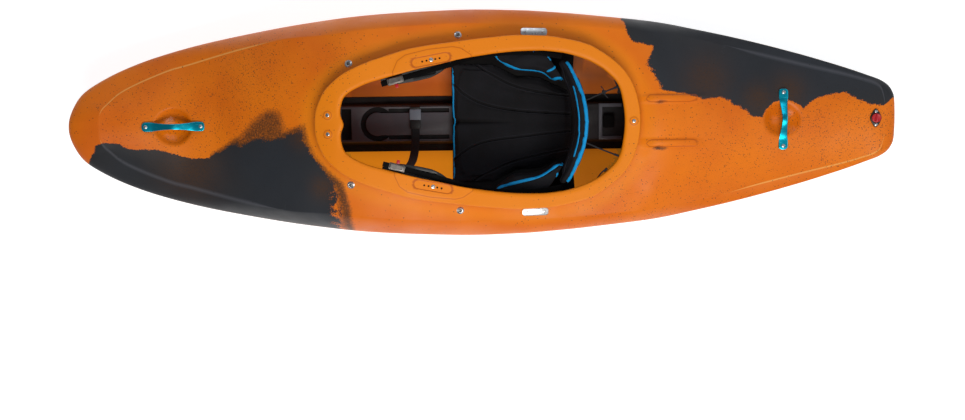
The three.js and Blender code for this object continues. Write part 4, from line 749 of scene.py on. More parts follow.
# Stands for "far from any" in a measured gap
farAway = 99
brownPlaces = [
    (792, 62, 46), (886, 84, 50), (-516, -34, 34), (-462, -175, 34), (640, 120, 70), (-860, -120, 90)
]


def along(table, value):
    return np.interp(value, [a for a, _ in table], [b for _, b in table])


def spots(x, y, places):
    return [np.exp(-((x - px) ** 2 + (y - py) ** 2) / spread ** 2) for px, py, spread in places]


# Marks each point of the skin with how much dark powder, specks and haze it carries
def markPowder(piece):
    x, y, z = pointsOf(piece).T
    seamZ = heightAt(seamHeight, x)
    low = ramp(seamZ - z, -lowPatch["seamWidth"], lowPatch["seamWidth"])
    bowEdge, bowWidth = edgeDistance(x, y, bowDarkEdge)
    sternEdge, sternWidth = edgeDistance(x, y, sternDarkEdge)
    bowUpper = ramp(bowEdge, -bowWidth * 0.25, bowWidth)
    upper = np.maximum(bowUpper, ramp(sternEdge, -sternWidth * 0.25, sternWidth))
    bowLow = ramp(along(bowDarkReach, z) - x, -6, lowPatch["bowWidth"])
    bowLow *= ramp(-y, -lowPatch["keelWidth"], lowPatch["keelWidth"])
    topGap = (along(sternDarkTop, x) - z) * lowPatch["topSlope"]
    frontGap = x - along(sternDarkFront, z)
    rightLow = ramp(np.minimum(topGap, frontGap), -5, lowPatch["sternWidth"] * 1.6)
    leftLow = ramp(x - lowPatch["sternLeft"], -8, lowPatch["sternWidth"])
    lower = np.maximum(bowLow, np.where(y < 0, rightLow, leftLow))
    inCockpit = (z < lipTopAt(x) - rim["edgeDepth"] + 0.5) & (np.abs(y) < breadthAt(inset(lipLoop, 12), x))
    inCockpit &= np.abs(x - rim["middle"]) < rim["half"] - 20
    setAttribute(piece, "darkPowder", np.where(inCockpit, 0, upper * (1 - low) + lower * low))
    thick = [share for *_, share in speckPlaces]
    specks = 0.08 + sum(t * spot for t, spot in zip(thick, spots(x, y, [place[:3] for place in speckPlaces])))
    setAttribute(piece, "specks", np.where(inCockpit, 0, np.clip(specks, 0, 1)))
    setAttribute(piece, "browned", np.max(spots(x, y, brownPlaces), axis=0))
    look = hazeLook
    haze = look["thick"] * ramp(outlineDepth(x, y, hazeEdge), *look["edge"]) * (1 - low)
    for px, py, wide, deep in scuffs:
        haze = np.maximum(haze, look["scuff"] * np.exp(-((x - px) / wide) ** 2 - ((y - py) / deep) ** 2))
    nearRim = ramp(bowEdge, *look["rimEdge"]) * (1 - ramp(bowEdge, *look["rimFade"])) * (x > look["rimFrom"])
    haze = np.maximum(haze, look["rimThick"] * (1 - low) * nearRim)
    setAttribute(piece, "haze", np.where(inCockpit, 0, haze))
    outer = np.abs(y) > breadthAt(seamLoop, x) - 12
    setAttribute(piece, "seamOffset", np.where(outer | (np.abs(x) > 1150), z - seamZ, farAway))
    # Painted shade: thin dark lines where the pads, bosses and ribs step up, and in the recesses and holes
    onRim = z > lipTopAt(x) - rim["above"]
    steps = np.where(onRim, np.maximum(padDepth(x, y), bossDepth(x, y)), ribDepth(x, y))
    setAttribute(piece, "stepGap", np.where(inCockpit | (z < deck["low"]), -farAway, steps))
    grime = np.zeros(x.shape)
    for sign in (1, -1):
        local = recessPlaces(x, y, z, sign)
        long, wide = slotRecess["length"] / 2, slotRecess["breadth"] / 2
        rimward = np.hypot(local[:, 0] - np.clip(local[:, 0], wide - long, long - wide), local[:, 1])
        sunk = local[:, 2] < -0.6 * slotRecess["depth"]
        grime = np.maximum(grime, np.where(sunk & (np.abs(rimward - wide) < 2.4), 1.0, 0))
        grime = np.maximum(grime, np.where((local[:, 2] < -slotRecess["depth"] - 2) & (rimward < 4), 2.0, 0))
    setAttribute(piece, "grime", grime)
    # The rim and the deck close to it are a yellower orange, with painted shade in the nook under the lip
    lipX, lipY = onLoop(lipLoop, np.linspace(0, np.pi, 60))
    halves = list(zip(lipX, lipY)), list(zip(lipX[-2:0:-1], -lipY[-2:0:-1]))
    lipDepth = outlineDepth(x, y, halves[0] + halves[1])
    setAttribute(piece, "yellower", ramp(lipDepth, *tones["yellow"]) * ramp(z, *tones["yellowHigh"]))
    below = (z < lipTopAt(x) - rim["face"] - 1) & (z > seamZ + 20) & ~inCockpit
    setAttribute(piece, "nook", np.where(below, np.exp(np.minimum(lipDepth, 0) / tones["lipShadeDepth"]), 0))
    # Painted highlight along the creases where the deck meets the side panels, pale at both ends of the boat
    crease = np.abs(y) - breadthAt(shoulderLoop, x)
    within = np.abs(x - deck["shoulderMiddle"]) < deck["shoulderHalf"] - 2
    ends = np.where(within, ramp(np.abs(x - tones["creaseMiddle"]), *tones["creaseFrom"]), 0)
    creaseHighlight = (z > seamZ + 6) & (ends > 0)
    setAttribute(piece, "creaseGap", np.where(creaseHighlight, crease / np.maximum(ends, 0.05), farAway))
    # Painted light: the inside of the skin glows on the right, as if daylight came through the wall
    floorZ = heightAt(keelHeight, x) + hull["wall"]
    inside = (z > floorZ - 1.5) & (np.abs(y) < breadthAt(inset(seamLoop, 2.5, 12), x)) & (z < seamZ - 14)
    glow = ramp(-y, *tones["glowSide"]) * (1 - tones["glowLoss"] * ramp(x, *tones["glowEnd"]))
    setAttribute(piece, "paintedGlowInside", np.where(inside, glow, 0))
    # Painted shade with some bilge soiling darkens the inside on the left, more toward both ends
    bowDirtAndShade, *bowReach = dirtAndShadeLook["bow"]
    aft = ramp(y, *dirtAndShadeLook["sternLeft"]) * ramp(x, *dirtAndShadeLook["sternFrom"])
    dirt = dirtAndShadeLook["least"] + bowDirtAndShade * ramp(-x, *bowReach) + dirtAndShadeLook["stern"] * aft
    setAttribute(piece, "dirt", np.where(inCockpit & (y > 0), dirt, 0))
    # Hands and rocks never reach the bowls, so they stay glossy
    bowls = []
    for bowl in (bowBowl, sternBowl):
        away = np.hypot(x - bowl["middle"], y * bowl["length"] / bowl["breadth"])
        bowls.append(1 - ramp(away, bowl["length"] * 0.4, bowl["length"] * 0.5))
    setAttribute(piece, "glossy", np.where(z > deck["bowlsLow"], np.maximum(*bowls), 0))


# Colours of the hull; the step line, the nook, the left inside and the holes get painted shade, the creases a
# painted highlight, and the glow is painted light
polyethylene = {
    "orange": "E27500", "orangeDeep": "D46400", "charcoal": "211F1E", "charcoalCool": "282F38",
    "brown": "4A2E16", "seam": "F2A332", "yellow": "E68300", "shadeLine": "A84A06", "hole": "120B07",
    "creaseHighlight": "F0C06A", "creaseHighlightDark": "5A5C64", "dirt": "241206", "roughness": (0.46, 0.6), "glow": 0.62,
    "glowTint": "E08A18",
}


def hullPolyethylene():
    material, tree, shader, coords = newMaterial("matRotomouldedPolyethylene")
    look = polyethylene
    # Powder pigment that fused in the mould: broad, faint changes of tone in the orange
    broad = mottle(tree, coords, 5.0, 3.0, low=0.35, high=0.7)
    base = coat(tree, look["orange"], broad, look["orangeDeep"])
    base = coat(tree, base, "yellower", look["yellow"], 0.8)
    # Brown haze where thin charcoal dust fell on the orange
    dust = mottle(tree, coords, 230.0, 3.0, 0.7)
    haze = addNode(tree, "Attribute", give="Fac", attribute_name="haze")
    thickness = addNode(tree, "Math", {0: dust, 1: -0.9, 2: haze}, operation="MULTIPLY_ADD")
    base = coat(tree, base, addNode(tree, "MapRange", {0: thickness, 1: -0.2, 2: 0.3}), look["brown"], 0.95)
    # Painted highlight: the creases of the deck are made pale
    base = coat(tree, base, lineAlong(tree, "creaseGap", 3.4, 0.4), look["creaseHighlight"], 0.55)
    # The charcoal patch: its border wanders, and breaks up into grains about 2 to 4 mm wide
    dark = addNode(tree, "Attribute", give="Fac", attribute_name="darkPowder")
    bare = addNode(tree, "Math", {0: 1.0, 1: dark}, operation="SUBTRACT")
    border = addNode(tree, "Math", {0: dark, 1: bare}, operation="MULTIPLY")
    wander = mottle(tree, coords, 38.0, 3.0, to=(-1.9, 1.9))
    lessGrain = mottle(tree, coords, 290.0, 2.0, 0.75, to=(0.0, -1.0))
    powder = addNode(tree, "Math", {0: dark, 1: 0.86, 2: lessGrain}, operation="MULTIPLY_ADD")
    level = addNode(tree, "Math", {0: border, 1: wander, 2: powder}, operation="MULTIPLY_ADD")
    patch = addNode(tree, "MapRange", {0: level, 1: -0.09, 2: -0.02})
    charcoal = coat(tree, look["charcoal"], mottle(tree, coords, 3.5), look["charcoalCool"])
    brownWeight = addNode(tree, "MapRange", {0: dust, 1: 0.3, 2: 0.62, 3: 0.2, 4: 0.75})
    charcoal = coat(tree, charcoal, "browned", look["brown"], brownWeight)
    # Painted highlight along the creases on the charcoal
    charcoal = coat(tree, charcoal, lineAlong(tree, "creaseGap", 9.0, 0.0), look["creaseHighlightDark"], 0.45)
    base = coat(tree, base, patch, charcoal)
    # Fine dust and single specks of powder, up to 2 mm, on the orange
    fine = mottle(tree, coords, 340.0, low=0.56, high=0.7, to=(0.0, 0.4))
    base = coat(tree, base, "specks", look["brown"], fine)
    cells = addNode(tree, "TexVoronoi", {"Vector": coords, "Scale": 220.0}, give="Distance")
    pick = addNode(tree, "SeparateColor", {"Color": cells.node.outputs["Color"]}).node
    many = addNode(tree, "Attribute", give="Fac", attribute_name="specks")
    share = addNode(tree, "Math", {0: many, 1: 0.7}, operation="MULTIPLY")
    chosen = addNode(tree, "Math", {0: pick.outputs[0], 1: share}, operation="LESS_THAN")
    size = addNode(tree, "Math", {0: pick.outputs[1], 1: 0.34, 2: 0.06}, operation="MULTIPLY_ADD")
    inside = addNode(tree, "Math", {0: size, 1: cells}, operation="SUBTRACT")
    heavy = addNode(tree, "MapRange", {0: inside, 1: 0.0, 2: 0.05, 4: 0.75})
    base = coat(tree, base, chosen, look["charcoal"], heavy)
    # The pale line of flash left where the two halves of the mould meet
    flash = lineAlong(tree, "seamOffset", 1.5, 0.8)
    base = coat(tree, base, flash, look["seam"], 0.9)
    # Painted shade along the moulded steps, in the nook under the lip, inside on the left with some bilge
    # soiling, in the recesses and in the bolt holes
    base = coat(tree, base, lineAlong(tree, "stepGap", 1.9, 0.5), look["shadeLine"], 0.6)
    base = coat(tree, base, "nook", look["shadeLine"], 0.5)
    base = coat(tree, base, "dirt", look["dirt"])
    grime = addNode(tree, "Attribute", give="Fac", attribute_name="grime")
    base = coat(tree, base, addNode(tree, "MapRange", {0: grime}), look["shadeLine"], 0.75)
    base = coat(tree, base, addNode(tree, "MapRange", {0: grime, 1: 1.1, 2: 1.7}), look["hole"])
    # A satin skin: faint ripple of the mould, fine grain, and long shallow scratches from use
    scratch = mottle(tree, coords, 1.0, 4.0, 0.7, low=0.72, high=0.78, stretch=(6.0, 420.0, 420.0))
    rough = mottle(tree, coords, 16.0, 4.0, low=0.3, high=0.7, to=look["roughness"])
    rough = addNode(tree, "Math", {0: scratch, 1: 0.18, 2: rough}, operation="MULTIPLY_ADD")
    glossy = addNode(tree, "Attribute", give="Fac", attribute_name="glossy")
    rough = addNode(tree, "Math", {0: glossy, 1: -0.26, 2: rough}, operation="MULTIPLY_ADD")
    ridge = addNode(tree, "Math", {0: flash, 1: 0.5}, operation="MULTIPLY")
    marks = addNode(tree, "Math", {0: scratch, 1: -0.25, 2: ridge}, operation="MULTIPLY_ADD")
    ripple, grain = mottle(tree, coords, 28.0), mottle(tree, coords, 1500.0)
    normal = relief(tree, (ripple, 0.5), (grain, 0.06), (marks, 0.35))
    # Painted light: the inside glows by emission on the right, as if daylight came through the 5 mm
    # polyethylene wall
    lit = addNode(tree, "Attribute", give="Fac", attribute_name="paintedGlowInside")
    joinInputs(tree, shader, {
        "Base Color": base, "Roughness": rough, "Normal": normal, "IOR": 1.5, "Specular IOR Level": 0.28,
        "Emission Color": linear(look["glowTint"]),
        "Emission Strength": addNode(tree, "Math", {0: lit, 1: look["glow"]}, operation="MULTIPLY"),
    })
    return material


# Slots, holes and recesses that the fasteners use

slotRecess = {
    "length": 112, "breadth": 28, "depth": 2.0, "x": -150, "inboard": 16.5, "heading": 0.185, "pitch": 12.4,
    "hole": 2.8, "holeDepth": 8, "cutSteps": ((0.05, 3.6), (0, 1.6), (0.5, 0.5)),
    "cutTop": ((0.3, 0.0), (30, -0.3)),
}


def matrixFrom(place, front, side, up):
    made = Matrix.Identity(4)
    for column, vector in enumerate((front, side, up, place)):
        for line in range(3):
            made[line][column] = vector[line]
    return made


def surfaceTree(piece):
    graph = bpy.context.evaluated_depsgraph_get()
    return BVHTree.FromObject(piece, graph)


# A seat on top of a piece: Z stands off its surface and X follows the heading
def seatOn(tree, x, y, heading=(1, 0, 0), reach=4.0, level=500.0):
    def high(px, py):
        hit = tree.ray_cast(Vector((px, py, level)) * mm, Vector((0, 0, -1)))[0]
        return hit.z / mm if hit else 0.0

    slopeX = (high(x + reach, y) - high(x - reach, y)) / (2 * reach)
    slopeY = (high(x, y + reach) - high(x, y - reach)) / (2 * reach)
    up = Vector((-slopeX, -slopeY, 1)).normalized()
    side = up.cross(Vector(heading)).normalized()
    return matrixFrom(Vector((x, y, high(x, y))), side.cross(up), side, up)


def placed(points, seat):
    return [tuple(seat @ Vector(point)) for point in points]


# A body of level sections that stands on a seat
def formOn(seat, name, rows, smooth=True):
    return loftPiece(name, [placed(ring, seat) for ring in rows], smooth)


# Cuts an outline into a piece, between two heights above a seat
def cutOutline(piece, outline, seat, low, high, smooth=True):
    rows = [[(x, y, z) for x, y in outline] for z in (low, high)]
    return cutWith(piece, formOn(seat, "cutter", rows, smooth))


def roundedOutline(length, breadth, radius, steps=6):
    points = []
    for quarter, (sx, sy) in enumerate([(1, 1), (-1, 1), (-1, -1), (1, -1)]):
        for i in range(steps + 1):
            turn = (quarter + i / steps) * math.pi / 2
            x = sx * (length / 2 - radius) + radius * math.cos(turn)
            points.append((x, sy * (breadth / 2 - radius) + radius * math.sin(turn)))
    return points


# A flat body with rounded corners in plan and softened top and bottom edges
def softPlate(length, breadth, radius, low, high, soft=0.8, softLow=0.0):
    rows = []
    stops = [(low, softLow), (low + softLow, 0.0)] if softLow > 0 else [(low, 0.0)]
    stops += [(high - soft, 0.0), (high - soft * 0.3, soft * 0.3), (high, soft)]
    for z, cut in stops:
        outline = roundedOutline(length - 2 * cut, breadth - 2 * cut, max(radius - cut, 0.2))
        rows.append([(x, y, z) for x, y in outline])
    return rows


recessSeats = {}
overCut = 30


# Places as seen from the seat of the recess on one side
def recessPlaces(x, y, z, sign):
    points = np.stack([x, y, z, np.ones(len(x))], 1)
    return points @ np.array(recessSeats[sign].inverted()).T


def cutRecesses(piece):
    for sign in (1, -1):
        tree = surfaceTree(piece)
        heading = (math.cos(slotRecess["heading"]), sign * math.sin(slotRecess["heading"]), 0)
        outboard = float(openingAt(slotRecess["x"])) + slotRecess["inboard"]
        seat = recessSeats[sign] = seatOn(tree, slotRecess["x"], sign * outboard, heading)
        long, wide = slotRecess["length"], slotRecess["breadth"]
        outline = roundedOutline(long, wide, wide / 2 - 0.01, 10)
        # The cutter's edges are rounded: each step draws in its ends and sides
        steps = [(rise - slotRecess["depth"], cut) for rise, cut in slotRecess["cutSteps"]]
        rows = [[(x * (1 - cut / 50), y * (1 - cut / 13), z) for x, y in outline]
                for z, cut in (*steps, *slotRecess["cutTop"])]
        cutWith(piece, formOn(seat, "cutter", rows))
        hole, turns = slotRecess["hole"], np.linspace(0, 2 * math.pi, 17)[:-1]
        for step in (-2, -1, 1, 2):
            middle = step * slotRecess["pitch"]
            ring = [(middle + hole * math.cos(a), hole * math.sin(a)) for a in turns]
            cutOutline(piece, ring, seat, -slotRecess["holeDepth"], overCut)


cutRecesses(hullShell)
markPowder(hullShell)
smoothByAngle(hullShell, 50)
polyethyleneLook = hullPolyethylene()
dress(hullShell, polyethyleneLook, "root", ["hull_shell"])
hullTree = surfaceTree(hullShell)
print("hull is moulded, cut and marked:", len(hullShell.data.polygons), "faces")


# Materials of the fittings

def toneAndGrain(tree, coords, first, second, broadScale, grainScale, grainDepth):
    tone = coat(tree, first, mottle(tree, coords, broadScale, 3.0), second)
    return {"Base Color": tone, "Normal": relief(tree, (mottle(tree, coords, grainScale), grainDepth))}


def mouldedPlastic(name, first, second, rough=(0.38, 0.55), grainDepth=0.05, shine=0.5):
    material, tree, shader, coords = newMaterial(name)
    # Injection-moulded: spark-eroded skin of about 0.3 mm grain, with palms' and boots' polish in patches
    joinInputs(tree, shader, {
        **toneAndGrain(tree, coords, first, second, 9.0, 1900.0, grainDepth), "Specular IOR Level": shine,
        "Roughness": mottle(tree, coords, 24.0, 4.0, low=0.35, high=0.68, to=rough),
    })
    return material


def beamPolyethylene():
    material, tree, shader, coords = newMaterial("matGreyPolyethyleneBeam")
    # Rotomoulded in grey-black with a satin top; painted shade makes its grooves and sides black
    look = toneAndGrain(tree, coords, "46464C", "5C5C64", 9.0, 1500.0, 0.08)
    look["Base Color"] = coat(tree, look["Base Color"], "sunk", "09090A")
    rough = mottle(tree, coords, 24.0, 4.0, low=0.35, high=0.68, to=(0.36, 0.54))
    sunk = addNode(tree, "Attribute", give="Fac", attribute_name="sunk")
    look["Roughness"] = addNode(tree, "Math", {0: sunk, 1: 0.35, 2: rough}, operation="MULTIPLY_ADD")
    joinInputs(tree, shader, look)
    return material


def anodisedAlloy():
    material, tree, shader, coords = newMaterial("matTealAnodisedAlloy")
    # Extruded bar, tumbled and dyed in the bath: faint draw lines and a soft edge wear
    look = toneAndGrain(tree, coords, "16BCD6", "10A3C0", 30.0, 900.0, 0.02)
    scuff = mottle(tree, coords, 1.0, 3.0, low=0.6, high=0.75, stretch=(60.0, 300.0, 300.0))
    look["Base Color"] = coat(tree, look["Base Color"], scuff, "67C6CC", 0.35)
    rough = addNode(tree, "MapRange", {0: scuff, 3: 0.3, 4: 0.46})
    joinInputs(tree, shader, {**look, "Metallic": 1.0, "Roughness": rough})
    return material


def pressedMetal(name, first, second, smooth, dull):
    material, tree, shader, coords = newMaterial(name)
    # Pressed and tumbled sheet: slight tone changes and hair scratches
    joinInputs(tree, shader, {
        **toneAndGrain(tree, coords, first, second, 60.0, 1400.0, 0.015), "Metallic": 1.0,
        "Roughness": mottle(tree, coords, 110.0, 3.0, low=0.3, high=0.7, to=(smooth, dull)),
    })
    return material


def sealRubber():
    material, tree, shader, coords = newMaterial("matBlackNitrileRubber")
    # Moulded nitrile rubber: matt, nearly black, with a bloom of grey dust
    bloom = mottle(tree, coords, 90.0, 4.0, low=0.4, high=0.75)
    joinInputs(tree, shader, {"Base Color": coat(tree, "0C0C0D", bloom, "1D1D1E"), "Roughness": 0.78})
    return material


def foamSheet():
    material, tree, shader, coords = newMaterial("matClosedCellFoam")
    # Cut from block polyethylene foam: fine cells of about 0.6 mm, matt, with knife streaks
    cells = addNode(tree, "TexVoronoi", {"Vector": coords, "Scale": 1500.0}, give="Distance")
    tone = coat(tree, "3B3D41", mottle(tree, coords, 20.0, 3.0), "4A4C50")
    joinInputs(tree, shader, {"Base Color": tone, "Roughness": 0.92, "Normal": relief(tree, (cells, 0.12))})
    return material


blackPlastic = mouldedPlastic("matBlackNylon", "08080A", "0E0F11")
seatPlastic = mouldedPlastic("matBlackPolyethyleneSeat", "050506", "080809", (0.66, 0.8), 0.05, 0.15)
greyAcetal = mouldedPlastic("matGreyAcetal", "697482", "7F8A98", (0.34, 0.48), 0.03)
frameNylon = mouldedPlastic("matGreyNylonFrame", "50525B", "5E606A", (0.4, 0.52), 0.03)
strapUrethane = mouldedPlastic("matBlackUrethaneStrap", "040405", "060607", (0.7, 0.85), 0.02, 0.12)
redPlastic = mouldedPlastic("matRedNylon", "BE1220", "A00F1B", (0.3, 0.45), 0.03)
tealAlloy = anodisedAlloy()
steel = pressedMetal("matStainlessSteel", "C9CBCC", "ABAEB0", 0.24, 0.4)
dullSteel = pressedMetal("matDullSteel", "7E7A76", "5F5B58", 0.4, 0.55)
bareAlloy = pressedMetal("matBareAluminium", "B4B6B8", "989A9D", 0.34, 0.5)
rubber = sealRubber()


# Forms turned or pressed, and many copies of one form set by Geometry Nodes

def circle(radius, z, sides=40, ripple=0.0, waves=0):
    turns = np.linspace(0, 2 * math.pi, sides + 1)[:-1]
    radii = radius + ripple * np.cos(waves * turns)
    return [(r * math.cos(a), r * math.sin(a), z) for r, a in zip(radii, turns)]


def turnedRows(pairs, sides=40):
    return [circle(max(radius, 0.02), z, sides) for radius, z in pairs]


def unite(piece, other):
    addModifier(piece, "BOOLEAN", operation="UNION", solver="MANIFOLD", object=other)
    settle(piece)
    bpy.data.objects.remove(other)
    return piece


def joined(name, pieces):
    form = bmesh.new()
    looks = []
    for piece in pieces:
        start = len(form.faces)
        form.from_mesh(piece.data)
        form.faces.ensure_lookup_table()
        for look in piece.data.materials:
            if look not in looks:
                looks.append(look)
        for face in form.faces[start:]:
            own = piece.data.materials[face.material_index] if piece.data.materials else None
            face.material_index = looks.index(own) if own else 0
    mesh = bpy.data.meshes.new(name)
    form.to_mesh(mesh)
    form.free()
    for look in looks:
        mesh.materials.append(look)
    for piece in pieces:
        bpy.data.objects.remove(piece)
    return addObject(name, mesh)


def seatingGroup():
    group = bpy.data.node_groups.new("setOnSeats", "GeometryNodeTree")
    group.interface.new_socket("Geometry", in_out="INPUT", socket_type="NodeSocketGeometry")
    form = group.interface.new_socket("Form", in_out="INPUT", socket_type="NodeSocketObject")
    look = group.interface.new_socket("Look", in_out="INPUT", socket_type="NodeSocketMaterial")
    group.interface.new_socket("Geometry", in_out="OUTPUT", socket_type="NodeSocketGeometry")
    start, end = addNode(group, "NodeGroupInput").node, addNode(group, "NodeGroupOutput")
    turn = addNode(group, "GeometryNodeInputNamedAttribute", {"Name": "seatTurn"}, data_type="QUATERNION")
    source = addNode(group, "GeometryNodeObjectInfo", {"Object": start.outputs["Form"]}, give="Geometry")
    copies = addNode(group, "GeometryNodeInstanceOnPoints", {
        "Points": start.outputs["Geometry"], "Instance": source, "Rotation": turn,
    })
    whole = addNode(group, "GeometryNodeRealizeInstances", {"Geometry": copies})
    dressed = addNode(
        group, "GeometryNodeSetMaterial", {"Geometry": whole, "Material": start.outputs["Look"]}
    )
    group.links.new(dressed, end.inputs["Geometry"])
    return group, form.identifier, look.identifier


setOnSeats, formInput, lookInput = seatingGroup()


# One mesh with a copy of the form on each seat; a seat's place is in millimetres
def copiesOn(name, form, seats, material):
    mesh = bpy.data.meshes.new(name)
    mesh.from_pydata([tuple(seat.to_translation() * mm) for seat in seats], [], [])
    turns = mesh.attributes.new("seatTurn", "QUATERNION", "POINT")
    for slotted, seat in zip(turns.data, seats):
        slotted.value = seat.to_quaternion()
    piece = addObject(name, mesh)
    modifier = piece.modifiers.new("copies", "NODES")
    modifier.node_group = setOnSeats
    modifier[formInput] = form
    modifier[lookInput] = material
    settle(piece)
    bpy.data.objects.remove(form)
    return piece


def lifted(seat, x=0.0, y=0.0, z=0.0):
    return seat @ Matrix.Translation(Vector((x, y, z)))


# A domed screw head over its shank, with a cross or a hex recess, and a cup washer if it has one
def screwForm(size):
    head, crown, base = size["head"], size["crown"], 0.5 if "washer" in size else 0
    dome = [(head, base)] + [
        (head * math.cos(t), base + crown * (0.35 + 0.65 * math.sin(t)))
        for t in np.linspace(0, math.pi / 2, 7)
    ]
    rows = turnedRows([(0, -size["length"]), (3, -size["length"]), (3, -0.2), *dome], 32)
    piece = loftPiece("screwHead", rows)
    top = base + crown
    if size.get("recess") == "hex":
        rows = [circle(head * 0.42, z, 6) for z in (top - crown * 0.7, top + 2)]
        cutWith(piece, loftPiece("cutter", rows, False))
    else:
        for turn in (0, math.pi / 2):
            spin = Matrix.Rotation(turn, 4, "Z")
            rows = [[(x * w, y * w, z) for x, y in boxOutline(2, -0.22, 0.22)]
                    for z, w in ((top - crown * 0.75, head * 0.36), (top + 2, head * 0.62))]
            cutWith(piece, formOn(spin, "cutter", rows, False))
    return smoothByAngle(piece, 32)


# A pressed cup washer: its rim slopes up to the hole and the screw head sits down in it
def cupForm(size):
    head, wide, high = size["head"], size["washer"], size["washerHeight"]
    rows = [
        (0, 0), (wide, -0.3), (wide, 0.2), (wide * 0.93, 0.6), (head * 1.35, high),
        (head * 1.12, high - 0.1), (head * 1.02, 0.6), (0, 0.6)
    ]
    return smoothByAngle(loftPiece("cup", turnedRows(rows, 40)), 32)


screwSizes = {
    "deck": {"head": 5.5, "crown": 2.6, "length": 20},
    "cup": {"head": 4.6, "crown": 1.6, "length": 22, "washer": 10.5, "washerHeight": 2.4},
    "plate": {"head": 4.5, "crown": 1.8, "length": 16}, "rim": {"head": 5.5, "crown": 2.4, "length": 12},
    "bolt": {"head": 6, "crown": 2.2, "length": 44, "recess": "hex"},
}


def setScrews(name, size, seats, nodesHeld):
    metal = dullSteel if size == "cup" else steel
    dress(copiesOn(name, screwForm(screwSizes[size]), seats, metal), metal, "root", nodesHeld)
    if size == "cup":
        dress(copiesOn(name + "Cups", cupForm(screwSizes[size]), seats, steel), steel, "root")


# Grab handles: arched alloy bars over the bowls

handle = {
    "length": 177, "pitch": 156, "footWidth": 27, "waist": 16, "thickness": 6, "rise": 20,
    "footLength": 26, "corner": 2.2, "sink": 1.5, "endRound": 11, "stations": 90,
}


def roundCorners(outline, radius, steps=4):
    made = []
    points = [np.array(point, float) for point in outline]
    for i, corner in enumerate(points):
        reach = []
        for other in (points[i - 1], points[(i + 1) % len(points)]):
            run = other - corner
            reach.append(corner + run * min(radius / max(np.linalg.norm(run), 1e-6), 0.45))
        for t in np.linspace(0, 1, steps + 1):
            made.append(tuple((1 - t) ** 2 * reach[0] + 2 * t * (1 - t) * corner + t * t * reach[1]))
    return made


def boxOutline(width, low, high):
    return [(-width / 2, low), (width / 2, low), (width / 2, high), (-width / 2, high)]


def grabHandle(name, bowl, heading, node, screwNodes):
    reach = handle["pitch"] / 2
    feet = []
    for end in (-reach, reach):
        foot = seatOn(hullTree, bowl["middle"] + end * heading[0], end * heading[1])
        feet.append(foot.to_translation())
    run = (feet[1] - feet[0]).normalized()
    up = run.cross(Vector((-heading[1], heading[0], 0))).normalized()
    seat = matrixFrom((feet[0] + feet[1]) / 2, run, up.cross(run), up)
    half = handle["length"] / 2
    archHalf = half - handle["footLength"]
    rows = []
    for share in np.sin(np.linspace(-math.pi / 2, math.pi / 2, handle["stations"])):
        x = share * half
        inner = min(abs(x) / archHalf, 1)
        arch = handle["rise"] * (1 + math.cos(math.pi * inner)) / 2
        past = max(abs(x) - (half - handle["endRound"]), 0) / handle["endRound"]
        wide = handle["waist"] + (handle["footWidth"] - handle["waist"]) * inner ** 2
        wide *= 0.32 + 0.68 * math.sqrt(max(1 - past ** 2.4, 0))
        low = arch - handle["sink"] * max(1 - arch / 3, 0)
        outline = roundCorners(boxOutline(wide, low, arch + handle["thickness"]), handle["corner"])
        rows.append(placed([(x, y, z) for y, z in outline], seat))
    piece = smoothByAngle(loftPiece(name, rows), 40)
    dress(piece, tealAlloy, "root", [node])
    seats = [lifted(seat, end * reach, 0, handle["thickness"] - 0.2) for end in (-1, 1)]
    setScrews(name + "Screws", "deck", seats, screwNodes)


grabHandle("bowHandle", bowBowl, (1, 0), "bow_handle", ["bow_handle_screw_front", "bow_handle_screw_rear"])
grabHandle(
    "sternHandle", sternBowl, (0, 1), "stern_handle",
    ["stern_handle_screw_right", "stern_handle_screw_left"]
)


# Drain: a black diamond flange, a rubber ring and a red screw plug

drain = {
    "middle": 1135, "length": 33, "breadth": 54, "thickness": 5, "sink": 2, "power": 1.35, "bush": 12.5,
    "bore": 10, "bushLength": 20, "recess": 2, "seal": 13.2, "sealHeight": 2.2, "stem": 9.6,
    "stemLength": 14, "knob": 13.4, "knobHeight": 6, "grip": (5, 22, 5), "screwPitch": 38, "gap": 0.3,
}


def softRod(name, radius, low, high, seat, sides=56, soft=0.6):
    pairs = [
        (0, low), (radius, low), (radius, high - soft), (radius - soft * 0.3, high - soft * 0.3),
        (radius - soft, high), (0, high)
    ]
    return formOn(seat, name, turnedRows(pairs, sides))


